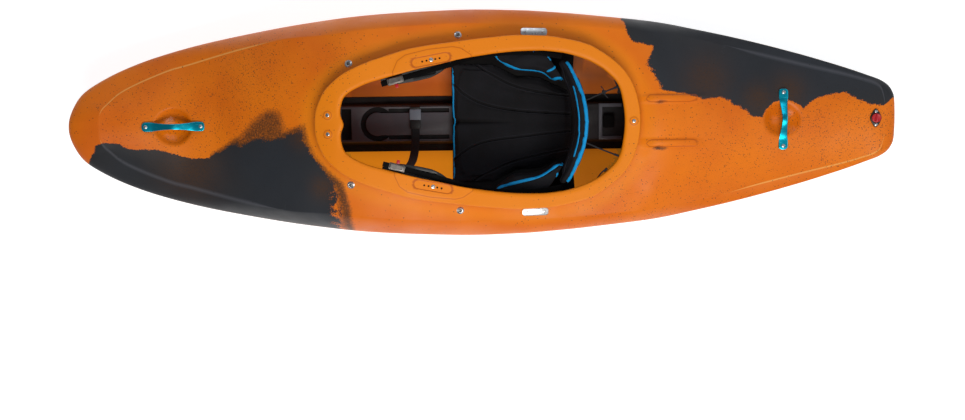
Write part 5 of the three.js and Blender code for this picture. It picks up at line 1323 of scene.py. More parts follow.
def buildDrain():
    seat = seatOn(hullTree, drain["middle"], 0)
    top = drain["thickness"]

    def diamond(scale, z):
        ring = []
        for turn in np.linspace(0, 2 * math.pi, 97)[:-1]:
            c, s = math.cos(turn), math.sin(turn)
            bend = 2 / drain["power"]
            x = math.copysign(abs(c) ** bend, c) * (drain["length"] / 2 - scale)
            ring.append((x, math.copysign(abs(s) ** bend, s) * (drain["breadth"] / 2 - scale), z))
        return placed(ring, seat)

    steps = (0, -drain["sink"]), (0, top - 1.6), (0.5, top - 0.5), (1.7, top)
    flange = loftPiece("drainFlange", [diamond(cut, z) for cut, z in steps])
    unite(flange, softRod("bush", drain["bush"], -drain["bushLength"], top - drain["recess"], seat))
    cutWith(flange, softRod("bore", drain["bore"], -40, 40, seat))
    cutWith(flange, softRod("sealSeat", drain["seal"] + drain["gap"], top - drain["recess"], 40, seat))
    dress(smoothByAngle(flange, 35), blackPlastic, "root", ["drain_flange"])
    seats = [lifted(seat, 0, side * drain["screwPitch"] / 2, top - 0.1) for side in (-1, 1)]
    setScrews("drainScrews", "plate", seats, ["drain_screw_right", "drain_screw_left"])

    sealLow = top - drain["recess"] + drain["gap"]
    sealTop = sealLow + drain["sealHeight"]
    middle = (drain["seal"] + drain["bore"] + drain["gap"]) / 2
    half = (drain["seal"] - drain["bore"] - drain["gap"]) / 2
    lip = [
        (middle + half * math.cos(t), (sealLow + sealTop) / 2 + drain["sealHeight"] / 2 * math.sin(t))
        for t in np.linspace(0, 2 * math.pi, 17)
    ]
    rings = [placed(circle(radius, z, 56), seat) for radius, z in lip]
    seal = makePiece("drainSeal", np.concatenate(rings), gridFaces(len(rings), 56))
    dress(seal, rubber, "drain_seal", ["drain_seal"])

    low = sealTop + drain["gap"]
    high = low + drain["knobHeight"]
    stem, foot = drain["stem"], top - drain["stemLength"]
    rows = turnedRows([(0, foot), (stem, foot), (stem, low)], 96)
    knob = [
        (0.6, low), (0.25, low + 0.6), (0.25, high - 1.4), (0.9, high - 0.3), (1.8, high), (3.4, high - 0.5)
    ]
    rows += [circle(drain["knob"] - cut, z, 96, 0.22, 24) for cut, z in knob]
    rows.append(circle(0.02, high - 0.5, 96))
    plug = formOn(seat, "drainPlug", rows)
    wide, long, tall = drain["grip"]
    bar = formOn(lifted(seat, z=high - 1), "plugGrip", softPlate(wide, long, 2.2, 0, tall + 1, 1.0))
    plug = joined("drainPlug", [plug, bar])
    dress(smoothByAngle(plug, 35), redPlastic, "drain_plug", ["drain_plug"])


buildDrain()


# Security plates beside the cockpit, and the other screws in the deck and rim

securityPlate = {
    "middle": 139, "outboard": 258, "length": 76, "breadth": 22, "thickness": 2.2, "corner": 8, "pitch": 52,
    "sink": 1.5
}


def buildSecurityPlates():
    for name, sign in sides:
        plate = securityPlate
        seat = seatOn(hullTree, plate["middle"], sign * plate["outboard"], level=286, reach=5)
        low, high = -plate["sink"], plate["thickness"]
        rows = softPlate(plate["length"], plate["breadth"], plate["corner"], low, high, 0.7)
        piece = formOn(seat, "securityPlate" + name.title(), rows)
        dress(smoothByAngle(piece, 35), steel, "root", [f"security_plate_{name}"])
        seats = [lifted(seat, end * plate["pitch"] / 2, 0, high - 0.2) for end in (-1, 1)]
        nodes = [f"security_screw_{name}_{end}" for end in ("front", "rear")]
        setScrews("securityScrews" + name.title(), "plate", seats, nodes)


buildSecurityPlates()


def topSeats(places):
    return [seatOn(hullTree, x, y) for x, y in places]


# Places of the screws in the deck: along, and out to each side
deckScrews = {"rail": (-380, 168), "seat": (-77, 247)}
for screwed, (screwX, screwY) in deckScrews.items():
    screwNodes = [f"{screwed}_screw_{sideName}" for sideName, _ in sides]
    setScrews(screwed + "Screws", "cup", topSeats([(screwX, screwY), (screwX, -screwY)]), screwNodes)
setScrews("rimBolts", "rim", topSeats(rimBosses), ["rim_bolt_left", "rim_bolt_right", "rim_screw_rear"])
boltY = float(openingAt(slotRecess["x"])) + slotRecess["inboard"]
boltPlaces = [(slotRecess["x"], boltY), (slotRecess["x"], -boltY)]
setScrews("thighBolts", "bolt", topSeats(boltPlaces), ["thigh_bolt_left", "thigh_bolt_right"])
print("deck fittings are set")


# Thigh grips and their ratchets

grip = {
    "front": -290, "rear": -96, "shelfDrop": 8, "thickness": 6, "tuck": 22, "depth": 34, "reach": 39,
    "edge": 1.6, "slot": (66, 15), "slotMiddle": -170, "slotInset": 14, "slotDepth": 4.5, "heading": 0.185,
    "stations": 80,
}
gripReachShares = [
    (0, 0.08), (0.08, 0.34), (0.21, 0.62), (0.39, 0.75), (0.55, 0.8), (0.67, 0.79), (0.82, 0.62),
    (0.93, 0.34), (1, 0.1),
]
gripReach = smoothCurve(gripReachShares)


def gripReachAt(x):
    return grip["reach"] * float(gripReach((x - grip["front"]) / (grip["rear"] - grip["front"])))


def underRimAt(x):
    return float(lipTopAt(x)) - rim["edgeDepth"]


def shelfAt(x):
    return underRimAt(x) - grip["shelfDrop"]


def buildGrip(name, sign):
    rows = []
    for x in np.linspace(grip["front"], grip["rear"], grip["stations"]):
        edge, top, shelf, t = float(openingAt(x)), underRimAt(x), shelfAt(x), grip["thickness"]
        inner, low = edge - gripReachAt(x), shelf - t
        outline = [
            (inner, low), (edge - t, low - t / 2), (edge + t, top - grip["depth"]),
            (edge + grip["tuck"] - t, top - grip["depth"]), (edge + grip["tuck"], top + 0.4),
            (edge + 0.3, top + 0.4), (edge - 0.3, shelf + 0.3), (inner + 0.3, shelf),
        ]
        rows.append([(x, sign * y, z) for y, z in roundCorners(outline, grip["edge"], 3)])
    piece = loftPiece(name, rows)
    x = grip["slotMiddle"]
    reach = grip["slot"][0] / 2
    slope = (shelfAt(x + reach) - shelfAt(x - reach)) / (2 * reach)
    along = Vector((math.cos(grip["heading"]), sign * math.sin(grip["heading"]), slope)).normalized()
    side = Vector((0, 0, 1)).cross(along).normalized()
    place = Vector((x, sign * (float(openingAt(x)) - grip["slotInset"]), shelfAt(x)))
    seat = matrixFrom(place, along, side, along.cross(side))
    long, wide = grip["slot"]
    cutOutline(piece, roundedOutline(long, wide, wide / 2 - 0.01, 8), seat, -grip["slotDepth"], overCut)
    return smoothByAngle(bevelled(piece, 0.8, 2, 50), 45)


ratchet = {
    "middle": -250, "inset": 14, "size": (46, 19, 9), "strapWay": (15, 3.4, 2.2), "lever": (40, 16, 4),
    "tab": (9, 11, 3), "lift": 0.8, "corner": 4, "leverCorner": 5, "gap": 0.3, "ribs": 5, "ribPitch": 3.2,
    "ribFrom": 5, "ribWidth": 1.3, "ribDepth": 0.7, "ribMargin": 4, "groove": 1.2, "grooveShare": 0.37,
    "grooveDepth": 0.6, "window": (9, 8, 2.4), "windowShare": 0.24, "windowFloor": 1.4,
    "soft": (1.0, 1.4, 0.9), "tabCorner": 2, "toothClear": 2,
}


def ratchetSeat(sign):
    half = ratchet["size"][0] / 2
    front, rear = (
        Vector((x, sign * (float(openingAt(x)) - ratchet["inset"]), shelfAt(x)))
        for x in (ratchet["middle"] - half, ratchet["middle"] + half)
    )
    run = (rear - front).normalized()
    side = Vector((-run.y, run.x, 0)).normalized()
    return lifted(matrixFrom((front + rear) / 2, run, side, run.cross(side)), z=ratchet["lift"])


def buildRatchet(name, sign):
    seat = ratchetSeat(sign)
    long, wide, tall = ratchet["size"]
    softBase, softLever, softTab = ratchet["soft"]
    rows = softPlate(long, wide, ratchet["corner"], 0, tall, softBase)
    base = formOn(seat, "ratchetBase" + name.title(), rows)
    wayWide, wayHigh, wayLow = ratchet["strapWay"]
    cutter = [[(x, y, z) for y, z in boxOutline(wayWide, wayLow, wayLow + wayHigh)] for x in (-long, long)]
    cutWith(base, formOn(seat, "cutter", cutter, False))
    for end in (-1, 1):
        groove = boxOutline(ratchet["groove"], -wide, wide)
        spot = lifted(seat, end * long * ratchet["grooveShare"])
        cutOutline(base, groove, spot, tall - ratchet["grooveDepth"], overCut, False)
    dress(smoothByAngle(base, 35), dullSteel, "root", [f"ratchet_base_{name}"])
    leverSeat = lifted(seat, z=tall + ratchet["gap"])
    leverLong, leverWide, leverTall = ratchet["lever"]
    rows = softPlate(leverLong, leverWide, ratchet["leverCorner"], 0, leverTall, softLever)
    lever = formOn(leverSeat, "ratchetLever" + name.title(), rows)
    spot = lifted(leverSeat, leverLong * ratchet["windowShare"])
    cutOutline(lever, roundedOutline(*ratchet["window"]), spot, ratchet["windowFloor"], overCut)
    for i in range(ratchet["ribs"]):
        x = -leverLong / 2 + ratchet["ribFrom"] + i * ratchet["ribPitch"]
        notch = roundedOutline(ratchet["ribWidth"], leverWide - ratchet["ribMargin"], 0.6, 3)
        cutOutline(lever, notch, lifted(leverSeat, x), leverTall - ratchet["ribDepth"], overCut)
    dress(smoothByAngle(lever, 35), dullSteel, f"ratchet_lever_{name}", [f"ratchet_lever_{name}"])
    tabLong, tabWide, tabTall = ratchet["tab"]
    tabSeat = lifted(seat, 0, -sign * (wide / 2 + ratchet["gap"] + tabWide / 2), tall / 2)
    rows = softPlate(tabLong, tabWide, ratchet["tabCorner"], 0, tabTall, softTab)
    tab = formOn(tabSeat, "ratchetRelease" + name.title(), rows)
    node = f"ratchet_release_{name}"
    dress(smoothByAngle(tab, 35), redPlastic, node, [node])


for sideName, sideSign in sides:
    thighGrip = buildGrip("thighGrip" + sideName.title(), sideSign)
    dress(thighGrip, blackPlastic, "root", [f"thigh_grip_{sideName}"])
    buildRatchet(sideName, sideSign)
print("thigh grips and ratchets are made")


# Copies of drawn pieces with softened edges, for plain moulded and cut parts

def drawnCopy(name, node):
    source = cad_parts[node]
    mesh = source.data.copy()
    mesh.transform(source.matrix_world)
    return addObject(name, mesh), mesh


def softened(name, node, width):
    piece, mesh = drawnCopy(name, node)
    mesh.attributes.active_color = None
    form = bmesh.new()
    form.from_mesh(mesh)
    bmesh.ops.remove_doubles(form, verts=form.verts, dist=0.01 * mm)
    bmesh.ops.dissolve_limit(form, angle_limit=math.radians(0.6), verts=form.verts, edges=form.edges)
    form.to_mesh(mesh)
    form.free()
    return smoothByAngle(bevelled(piece, width, 3, 28), 38)


# Each plain piece's node, how wide its edges are rounded, its material, slot and body
def plainPieces():
    foam, rail = foamSheet(), (0.7, bareAlloy, "bare_alloy", "root")
    return [
        ("centre_beam", 1.6, beamPolyethylene(), "black_plastic", "root"),
        ("beam_frame", 0.8, frameNylon, "grey_plastic", "root"),
        ("beam_clip", 1.6, seatPlastic, "black_plastic", "root"),
        ("seat_pan", 1.0, seatPlastic, "black_plastic", "root"),
        *[(f"seat_side_{name}", 1.0, seatPlastic, "black_plastic", "root") for name, _ in sides],
        ("backband_plate", 0.8, blackPlastic, "black_plastic", "backband"),
        *[(f"footrest_rail_{name}", *rail) for name, _ in sides],
        ("footrest_plate", 1.4, blackPlastic, "black_plastic", "footrest"),
        ("footrest_foam", 3.0, foam, "foam", "footrest"),
        ("bow_pillar", 1.5, foam, "foam", "root"),
        ("stern_pillar", 1.5, foam, "foam", "root"),
        ("strap_anchor", 1.2, blackPlastic, "black_plastic", "root"),
        ("buckle_socket", 0.9, greyAcetal, "grey_plastic", "root"),
        ("buckle_clip", 0.9, blackPlastic, "grey_plastic", "buckle_clip"),
    ]


# Painted shade on the beam: how far each point lies below its top; behind the backband the top is painted
# dark as well, less over the plate and the tray
beamTop = {"height": 50, "soft": (1.8, 4.5), "darkFrom": 284, "plate": (356, 44), "tray": -408}


def markBeam(piece):
    x, y, z = pointsOf(piece).T
    sunk = ramp(beamTop["height"] - z, *beamTop["soft"])
    sunk = np.where(x > beamTop["darkFrom"], 1, sunk)
    plateFrom, plateHalf = beamTop["plate"]
    sunk = np.where((x > plateFrom) & (np.abs(y) < plateHalf), 0.6, sunk)
    setAttribute(piece, "sunk", np.where((x < beamTop["tray"]) & (np.abs(y) < plateHalf), sunk * 0.45, sunk))


# Keeps the foam wall under the dished deck
def lowered(piece, gap=10.0):
    points = pointsOf(piece)
    points[:, 2] = np.minimum(points[:, 2], dishedHeight(points[:, 0], points[:, 1]) - gap)
    setPoints(piece, points)


for node, width, material, slot, body in plainPieces():
    first, *words = node.split("_")
    piece = softened(first + "".join(word.title() for word in words), node, width)
    if node == "centre_beam":
        markBeam(piece)
    if node == "bow_pillar":
        lowered(piece)
    dress(piece, material, body, [node])
print("plain pieces are softened")


# Materials of the soft goods

# A wave texture of scale 1 has a band every 0.314 units
waveTurn = 0.314


def weave(tree, coords, pitch):
    threads = []
    for way in ("X", "Y"):
        threads.append(addNode(tree, "TexWave", {
            "Vector": coords, "Scale": waveTurn / (pitch * mm), "Distortion": 0.4, "Detail": 1.0,
        }, give="Fac", wave_type="BANDS", bands_direction=way))
    return addNode(tree, "Math", dict(enumerate(threads)), operation="MAXIMUM")


def blackCloth():
    material, tree, shader, coords = newMaterial("matBlackNeopreneCloth")
    # Nylon jersey bonded to neoprene: a knit of 0.9 mm, greyer where it has worn, with painted shade in the
    # seams
    tone = coat(tree, "0E0F13", mottle(tree, coords, 14.0, 4.0, low=0.35, high=0.7), "15161C")
    tone = coat(tree, tone, mottle(tree, coords, 700.0, 3.0, low=0.66, high=0.74), "5B5D66", 0.1)
    tone = coat(tree, tone, lineAlong(tree, "seamGap", 2.4, 0.8), "040405", 0.9)
    # The cloth stands up in raised welts on both sides of each seam, and a painted highlight lightens them
    weltHighlight = lineAlong(tree, "seamGap", 1.8, 0.4, 4.6, "SMOOTHSTEP")
    tone = coat(tree, tone, weltHighlight, "2E3038", 0.5)
    # Painted shade deep in the seat's dimple
    tone = coat(tree, tone, "fold", "040405")
    ridge = lineAlong(tree, "seamGap", 2.0, 0.0, 4.6, "SMOOTHSTEP")
    wrinkle = mottle(tree, coords, 46.0, 3.0)
    joinInputs(tree, shader, {
        "Base Color": tone, "Roughness": 0.82, "Specular IOR Level": 0.25,
        "Normal": relief(tree, (weave(tree, coords, 0.9), 0.14), (wrinkle, 0.9), (ridge, 1.1)),
    })
    return material


def blueBinding():
    material, tree, shader, coords = newMaterial("matBlueNylonBinding")
    # Folded nylon tape sewn over the edges: fine cross ribs, soiled a little along the middle
    tone = coat(tree, "0098DC", mottle(tree, coords, 60.0, 4.0), "008CCC")
    tone = coat(tree, tone, mottle(tree, coords, 220.0, 4.0, low=0.6, high=0.75), "0B4A6B", 0.3)
    joinInputs(tree, shader, {
        "Base Color": tone, "Roughness": 0.6, "Specular IOR Level": 0.25,
        "Normal": relief(tree, (weave(tree, coords, 0.8), 0.12)),
    })
    return material


def wovenTape(name, first, second, pitch):
    material, tree, shader, coords = newMaterial(name)
    # Polyester yarn: the weave shows as fine ribs; dust lightens it in places
    tone = coat(tree, first, mottle(tree, coords, 90.0, 4.0), second)
    ribs = relief(tree, (weave(tree, coords, pitch), 0.25))
    joinInputs(tree, shader, {"Base Color": tone, "Roughness": 0.8, "Normal": ribs})
    return material


padCloth = blackCloth()
bindingTape = blueBinding()
strapTape = wovenTape("matBlackWebbing", "191A1C", "242528", 1.4)
cordSheath = wovenTape("matBraidedCordSheath", "17171A", "26262A", 1.1)


# Padded pieces start as their drawn solids and are puffed up by a pressure cloth

padding = {"voxel": 5.0, "pressure": 4.0, "frames": 20, "shrink": 1.6}


def normalsOf(piece):
    values = np.zeros(len(piece.data.vertices) * 3)
    piece.data.vertices.foreach_get("normal", values)
    return values.reshape(-1, 3)


def puffed(name, node, cap, heldSide):
    piece, mesh = drawnCopy(name, node)
    tidyMesh(mesh, 0.02)
    addModifier(piece, "REMESH", mode="VOXEL", voxel_size=padding["voxel"] * mm)
    settle(piece)
    start = pointsOf(piece) - normalsOf(piece) * padding["shrink"]
    held = heldSide(normalsOf(piece))
    setPoints(piece, start)
    cloth = addModifier(piece, "CLOTH")
    cloth.settings.use_pressure = True
    cloth.settings.uniform_pressure_force = padding["pressure"]
    cloth.settings.effector_weights.gravity = 0
    cloth.point_cache.frame_end = padding["frames"]
    for step in range(1, padding["frames"] + 1):
        scene.frame_set(step)
    settle(piece)
    scene.frame_set(1)
    moved = (pointsOf(piece) - start) * held[:, None]
    far = np.linalg.norm(moved, axis=1, keepdims=True)
    setPoints(piece, start + moved * np.minimum(1, cap / np.maximum(far, 0.001)))
    addModifier(piece, "SUBSURF", levels=1, render_levels=1)
    settle(piece)
    piece.data.shade_smooth()
    print(name, "is padded with", len(piece.data.vertices), "points")
    return piece


# A soft line through points, by cutting its corners
def softened3d(points, rounds=3):
    line = [np.array(point, float) for point in points]
    for _ in range(rounds):
        made = [line[0]]
        for a, b in zip(line, line[1:]):
            made += [a * 0.75 + b * 0.25, a * 0.25 + b * 0.75]
        line = made + [line[-1]]
    return line


def resampled(line, pitch):
    line = np.array(line)
    runs = np.r_[0, np.cumsum(np.linalg.norm(np.diff(line, axis=0), axis=1))]
    steps = np.linspace(0, runs[-1], max(int(runs[-1] / pitch), 4) + 1)
    return np.stack([np.interp(steps, runs, line[:, k]) for k in range(line.shape[1])], 1)


def distanceToLines(points, lines):
    best = np.full(len(points), float(farAway))
    for line in lines:
        for a, b in zip(line, line[1:]):
            run = b - a
            t = np.clip(((points - a) @ run) / (run @ run), 0, 1)
            best = np.minimum(best, np.linalg.norm(points - a - t[:, None] * run, axis=1))
    return best


# Presses sewn channels into the top of a pad, and keeps each point's distance to them for the cloth
def carveSeams(piece, lines, depth, width):
    points, normals = pointsOf(piece), normalsOf(piece)
    paths = [resampled(softened3d(line), 4.0) for line in lines]
    away = distanceToLines(points[:, :2], paths)
    above = ramp(normals[:, 2], 0.15, 0.5)
    setAttribute(piece, "seamGap", np.where(above > 0.5, away, farAway))
    setPoints(piece, points - normals * (above * depth * np.exp(-(away / width) ** 2))[:, None])


seams = [
    [(-43, 185), (12, 146), (88, 107), (165, 90), (242, 80), (262, 78)],
    [(-97, 118), (-66, 86), (-8, 55), (89, 36), (186, 29), (264, 24)],
    [(-97, -108), (-46, -69), (12, -52), (89, -44), (186, -33), (264, -26)],
    [(-56, -185), (-8, -154), (69, -120), (146, -100), (262, -80)],
]
seatPad = {
    "cap": 5.0, "seamDepth": 4.0, "seamWidth": 3.4, "front": -102, "dimple": ((-100, 6), (82, 3)),
    "notch": (7, 9), "dimpleDepth": 9.0, "dimpleWidth": 6.0, "dimplePower": 0.7, "dimpleTaper": (1.2, 0.5),
    "notchReach": (6, 50), "dimpleShadeShare": 1.3,
    "tape": {"front": -106, "half": 165, "low": 92, "rise": 26, "points": 45, "width": 8, "thick": 1.6},
}


def buildSeatPad():
    piece = puffed("seatPad", "seat_pad", seatPad["cap"], lambda normals: ramp(normals[:, 2], 0.0, 0.4))
    carveSeams(piece, seams, seatPad["seamDepth"], seatPad["seamWidth"])
    points, normals = pointsOf(piece), normalsOf(piece)
    (x0, y0), (x1, y1) = seatPad["dimple"]
    along = np.clip((points[:, 0] - x0) / (x1 - x0), 0, 1)
    aside = points[:, 1] - y0 - (y1 - y0) * along
    wide, taper = seatPad["dimpleTaper"]
    across = np.exp(-(aside / (seatPad["dimpleWidth"] * (wide - taper * along))) ** 2)
    deep = seatPad["dimpleDepth"] * (1 - along) ** seatPad["dimplePower"] * across
    points[:, 2] -= deep * ramp(normals[:, 2], 0.1, 0.5)
    inward, breadth = seatPad["notch"]
    behindFront = ramp(points[:, 0] - seatPad["front"], *seatPad["notchReach"])
    points[:, 0] += inward * np.exp(-(aside / breadth) ** 2) * (1 - behindFront)
    setPoints(piece, points)
    # Painted shade for the cloth, deepest in the dimple
    setAttribute(piece, "fold", np.clip(deep / seatPad["dimpleDepth"] * seatPad["dimpleShadeShare"], 0, 1))
    dress(piece, padCloth, "root", ["seat_pad"])
    tape = seatPad["tape"]
    half = tape["half"]
    line = [
        (tape["front"], y, tape["low"] + tape["rise"] * abs(y / half) ** 2)
        for y in np.linspace(-half, half, tape["points"])
    ]
    tapeOn("seatTape", piece, line, tape["width"], tape["thick"], rounds=1)


# Band and pads: the drawn lines they follow
band = {
    "rear": 285, "depth": 57, "half": 176, "thick": 27, "top": 345, "endTop": 272, "low": 152,
    "endLow": 214, "plateThick": 3, "cap": 4.5, "endPower": 2.2, "seamShares": (0.74, 0.3),
    "seamDepth": 2.6, "seamWidth": 4.0,
    "rearTape": {"aft": 10, "above": 3, "width": 15, "thick": 4.5, "past": 2, "points": 25},
    "frontTape": {
        "share": 0.93, "from": -0.56, "to": 0.57, "aheadShare": 0.95, "width": 7, "thick": 1.2, "points": 21
    },
}


def bandRearAt(y):
    return band["rear"] - band["depth"] * (y / band["half"]) ** 2


def bandTopAt(y):
    return band["top"] - (band["top"] - band["endTop"]) * abs(y / band["half"]) ** band["endPower"]


def bandLowAt(y):
    return band["low"] + (band["endLow"] - band["low"]) * (y / band["half"]) ** 2


# A tape sewn onto a soft piece: each point across it lies on the cloth
def tapeOn(name, piece, line, width, thick, body="root", rounds=3, across=7, onto=None):
    tree = surfaceTree(piece)
    others = [surfaceTree(other) for other in onto or []]

    # The nearest cloth, or the highest piece under the point where the tape lies on several
    def touch(point):
        above, down = Vector((point[0], point[1], 420)) * mm, Vector((0, 0, -1))
        hits = [hit for hit in (other.ray_cast(above, down) for other in others) if hit[0] is not None]
        hit = max(hits, key=lambda h: h[0].z) if hits else tree.find_nearest(Vector(point) * mm)
        return np.array(hit[0]) / mm, np.array(hit[1])

    path = resampled(softened3d(line, rounds), 3.0)
    spots = [touch(point) for point in path]
    middles = np.array([spot for spot, _ in spots])
    normals = np.array([normal for _, normal in spots])
    for _ in range(4):
        normals[1:-1] = (normals[:-2] + 2 * normals[1:-1] + normals[2:]) / 4
        middles[1:-1] = (middles[:-2] + 2 * middles[1:-1] + middles[2:]) / 4
    tangents = np.gradient(middles, axis=0)
    rings = []
    for i, (middle, normal, tangent) in enumerate(zip(middles, normals, tangents)):
        side = np.cross(normal, tangent)
        side /= max(np.linalg.norm(side), 1e-6)
        taper = 0.55 if i in (0, len(middles) - 1) else 1.0
        over, under = [], []
        for u in np.linspace(-1, 1, across):
            place, own = touch(middle + side * u * width / 2 * taper)
            over.append(place + own * thick * max(1 - abs(u) ** 4, 0.12))
            under.append(place - own * 0.8)
        rings.append(over + under[::-1])
    tape = loftPiece(name, rings)
    smoothByAngle(tape, 60)
    return dress(tape, bindingTape, body)


def buildBackband():
    def heldSide(normals):
        return 1 - ramp(normals[:, 0], 0.3, 0.8)

    piece = puffed("backPad", "backband", band["cap"], heldSide)
    points, normals = pointsOf(piece), normalsOf(piece)
    # Two sewn lines run along the band's front
    lows = np.array([bandLowAt(y) for y in points[:, 1]])
    tops = np.array([bandTopAt(y) for y in points[:, 1]])
    gaps = [np.abs(points[:, 2] - lows - (tops - lows) * share) for share in band["seamShares"]]
    away = np.min(gaps, axis=0)
    ahead = ramp(-normals[:, 0], 0.2, 0.6)
    setAttribute(piece, "seamGap", np.where(ahead > 0.5, away, farAway))
    pressed = ahead * band["seamDepth"] * np.exp(-(away / band["seamWidth"]) ** 2)
    setPoints(piece, points - normals * pressed[:, None])
    dress(piece, padCloth, "backband", ["backband"])
    tape, reach = band["rearTape"], band["half"] + band["rearTape"]["past"]
    line = [
        (bandRearAt(y) + tape["aft"], y, bandTopAt(y) + tape["above"])
        for y in np.linspace(-reach, reach, tape["points"])
    ]
    tapeOn("bandTapeRear", piece, line, tape["width"], tape["thick"], "backband", 1)
    tape, line = band["frontTape"], []
    for y in np.linspace(band["half"] * tape["from"], band["half"] * tape["to"], tape["points"]):
        height = bandLowAt(y) + (bandTopAt(y) - bandLowAt(y)) * tape["share"]
        line.append((bandRearAt(y) - band["thick"] * tape["aheadShare"], y, height))
    tapeOn("bandTapeFront", piece, line, tape["width"], tape["thick"], "backband", 1)


# Tapes on the hip pads, each with its width and its line seen from above
hipPad = {"cap": 5.0, "fill": 0.6, "tapeFrom": 252, "tapeThick": 1.4}
hipTrims = {
    "left": [
        (11, [(20, 198), (40, 178), (64, 165), (90, 153), (120, 151), (147, 149), (170, 142), (193, 125),
              (210, 113), (231, 106)]),
        (9, [(137, 206), (166, 201), (210, 192)]), (7, [(177, 145), (198, 154), (215, 172)]),
    ],
    "right": [
        (9, [(20, -195), (34, -187), (64, -178), (107, -168), (150, -159), (177, -144), (203, -125),
             (226, -110), (234, -109)]),
        (8, [(202, -148), (219, -158), (231, -178)]),
    ],
}


def buildHipPads():
    for name, sign in sides:
        def heldSide(normals, sign=sign):
            return np.maximum(ramp(-sign * normals[:, 1], 0.0, 0.4), ramp(normals[:, 2], 0.4, 0.8) * 0.6)

        piece = puffed(f"hipPad{name.title()}", f"hip_pad_{name}", hipPad["cap"], heldSide)
        setAttribute(piece, "seamGap", np.full(len(piece.data.vertices), float(farAway)))
        dress(piece, padCloth, "root", [f"hip_pad_{name}"])
        under = [piece, bpy.data.objects["seatSide" + name.title()]]
        for i, (width, line) in enumerate(hipTrims[name]):
            line = [(x, y, hipPad["tapeFrom"]) for x, y in line]
            tapeOn(f"hipTape{name.title()}{i}", piece, line, width, hipPad["tapeThick"], onto=under)


buildSeatPad()
buildBackband()
buildHipPads()
print("padded pieces and their bindings are made")


# Straps and cords

# A flat section swept along a path, its thin side facing up
def strip(name, path, ups, outline):
    path, ups = np.array(path), np.array(ups)
    tangents = np.gradient(path, axis=0)
    tangents /= np.linalg.norm(tangents, axis=1, keepdims=True)
    rings = []
    for place, tangent, up in zip(path, tangents, ups):
        side = np.cross(up, tangent)
        side /= np.linalg.norm(side)
        over = np.cross(tangent, side)
        rings.append([tuple(place + side * u + over * v) for u, v in outline])
    return smoothByAngle(loftPiece(name, rings), 40)


def tube(name, path, radius, sides=14, looped=False):
    path = np.array(path, float)
    tangents = np.gradient(path, axis=0)
    if looped:
        tangents = (np.roll(path, -1, axis=0) - np.roll(path, 1, axis=0)) / 2
    side = np.cross(tangents[0], (0.13, 0.2, 1))
    turns = np.linspace(0, 2 * math.pi, sides + 1)[:-1]
    rings = []
    for place, tangent in zip(path, tangents):
        tangent = tangent / np.linalg.norm(tangent)
        side = side - tangent * (side @ tangent)
        side /= np.linalg.norm(side)
        other = np.cross(tangent, side)
        rings.append([place + radius * (math.cos(a) * side + math.sin(a) * other) for a in turns])
    if looped:
        return makePiece(name, np.concatenate(rings + [rings[0]]), gridFaces(len(rings) + 1, sides))
    return smoothByAngle(loftPiece(name, rings), 50)


ladder = {
    "breadth": 14, "thickness": 2.4, "tail": 40, "rear": 218, "inset": 10, "outmost": 199, "drop": 42,
    "toothPitch": 5.0, "tooth": (10.5, 2.4, 0.9)
}
ladderStopShares = [
    (-0.172, 1.0, 0.12), (0, 0.86, 0.143), (0.146, 0.0, 0.571), (0.338, -0.3, 0.905), (0.56, -0.3, 1),
    (0.783, 0.3, 0.905), (1, 0.9, 0.81),
]


def buildLadderStrap(name, sign):
    seat = ratchetSeat(sign)
    _, strapHigh, strapLow = ratchet["strapWay"]
    level = strapLow + strapHigh / 2
    up = np.array(seat.to_3x3() @ Vector((0, 0, 1)))
    places = -ladder["tail"], -10, ratchet["size"][0] / 2 + ladder["thickness"]
    stops = [np.array(seat @ Vector((x, 0, level))) for x in places]
    ups = [up, up, up]
    for aft, inward, down in ladderStopShares:
        x = grip["rear"] + aft * (ladder["rear"] - grip["rear"])
        outboard = min(float(openingAt(x)) - inward * ladder["inset"], ladder["outmost"])
        stops.append(np.array((x, sign * outboard, underRimAt(x) - down * ladder["drop"])))
        ups.append(np.array((0.0, 0, 1)))
    line = resampled(softened3d([np.r_[stop, own] for stop, own in zip(stops, ups)], 2), 4.0)
    path, turned = line[:, :3], line[:, 3:]
    thick = ladder["thickness"] / 2
    outline = roundCorners(boxOutline(ladder["breadth"], -thick, thick), 0.7, 3)
    strap = strip(f"ladderStrap{name.title()}", path, turned, outline)
    fine = resampled(line, ladder["toothPitch"])
    seats = []
    for before, here, after in zip(fine[:-2], fine[1:-1], fine[2:]):
        run = Vector(after[:3] - before[:3]).normalized()
        side = Vector(here[3:]).cross(run).normalized()
        over = run.cross(side)
        seats.append(matrixFrom(Vector(here[:3]) + over * thick, run, side, over))
    long, wide, high = ladder["tooth"]
    steps = (-0.4, wide), (high * 0.4, wide), (high, wide * 0.45)
    rows = [[(x, y, z) for x, y in boxOutline(w, -long / 2, long / 2)] for z, w in steps]
    tooth = loftPiece("tooth", rows, False)
    seats = [spot for spot in seats if not inRatchet(spot, seat)]
    teeth = copiesOn(f"ladderTeeth{name.title()}", tooth, seats, strapUrethane)
    # Behind the band's end each strap moves with it, while its front stays held in the ratchet
    held = seat @ Vector((ratchet["size"][0] / 2 + 6, 0, level))
    dress(strap, strapUrethane, None, [f"ladder_strap_{name}"])
    dress(teeth, strapUrethane, None)
    for piece in (strap, teeth):
        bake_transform(piece, "backband", "root", start=tuple(path[-1] * mm), end=tuple(held * mm))


def inRatchet(spot, seat):
    local = seat.inverted() @ spot.to_translation()
    return abs(local.x) < ratchet["size"][0] / 2 + ratchet["toothClear"]


for sideName, sideSign in sides:
    buildLadderStrap(sideName, sideSign)


backCord = {
    "radius": 2.3, "side": 62, "front": 252, "turn": 2.85, "drop": 9, "gap": 0.7, "sag": 14, "lead": 7,
    "knot": 1.9, "knotRadius": 1.8, "knotTails": ((-9, 17, -3), (11, -16, -5)), "spareHead": (343, -134, 5),
    "spareRun": (-26, -28, -12), "spareBow": (-2, 3, 2),
}


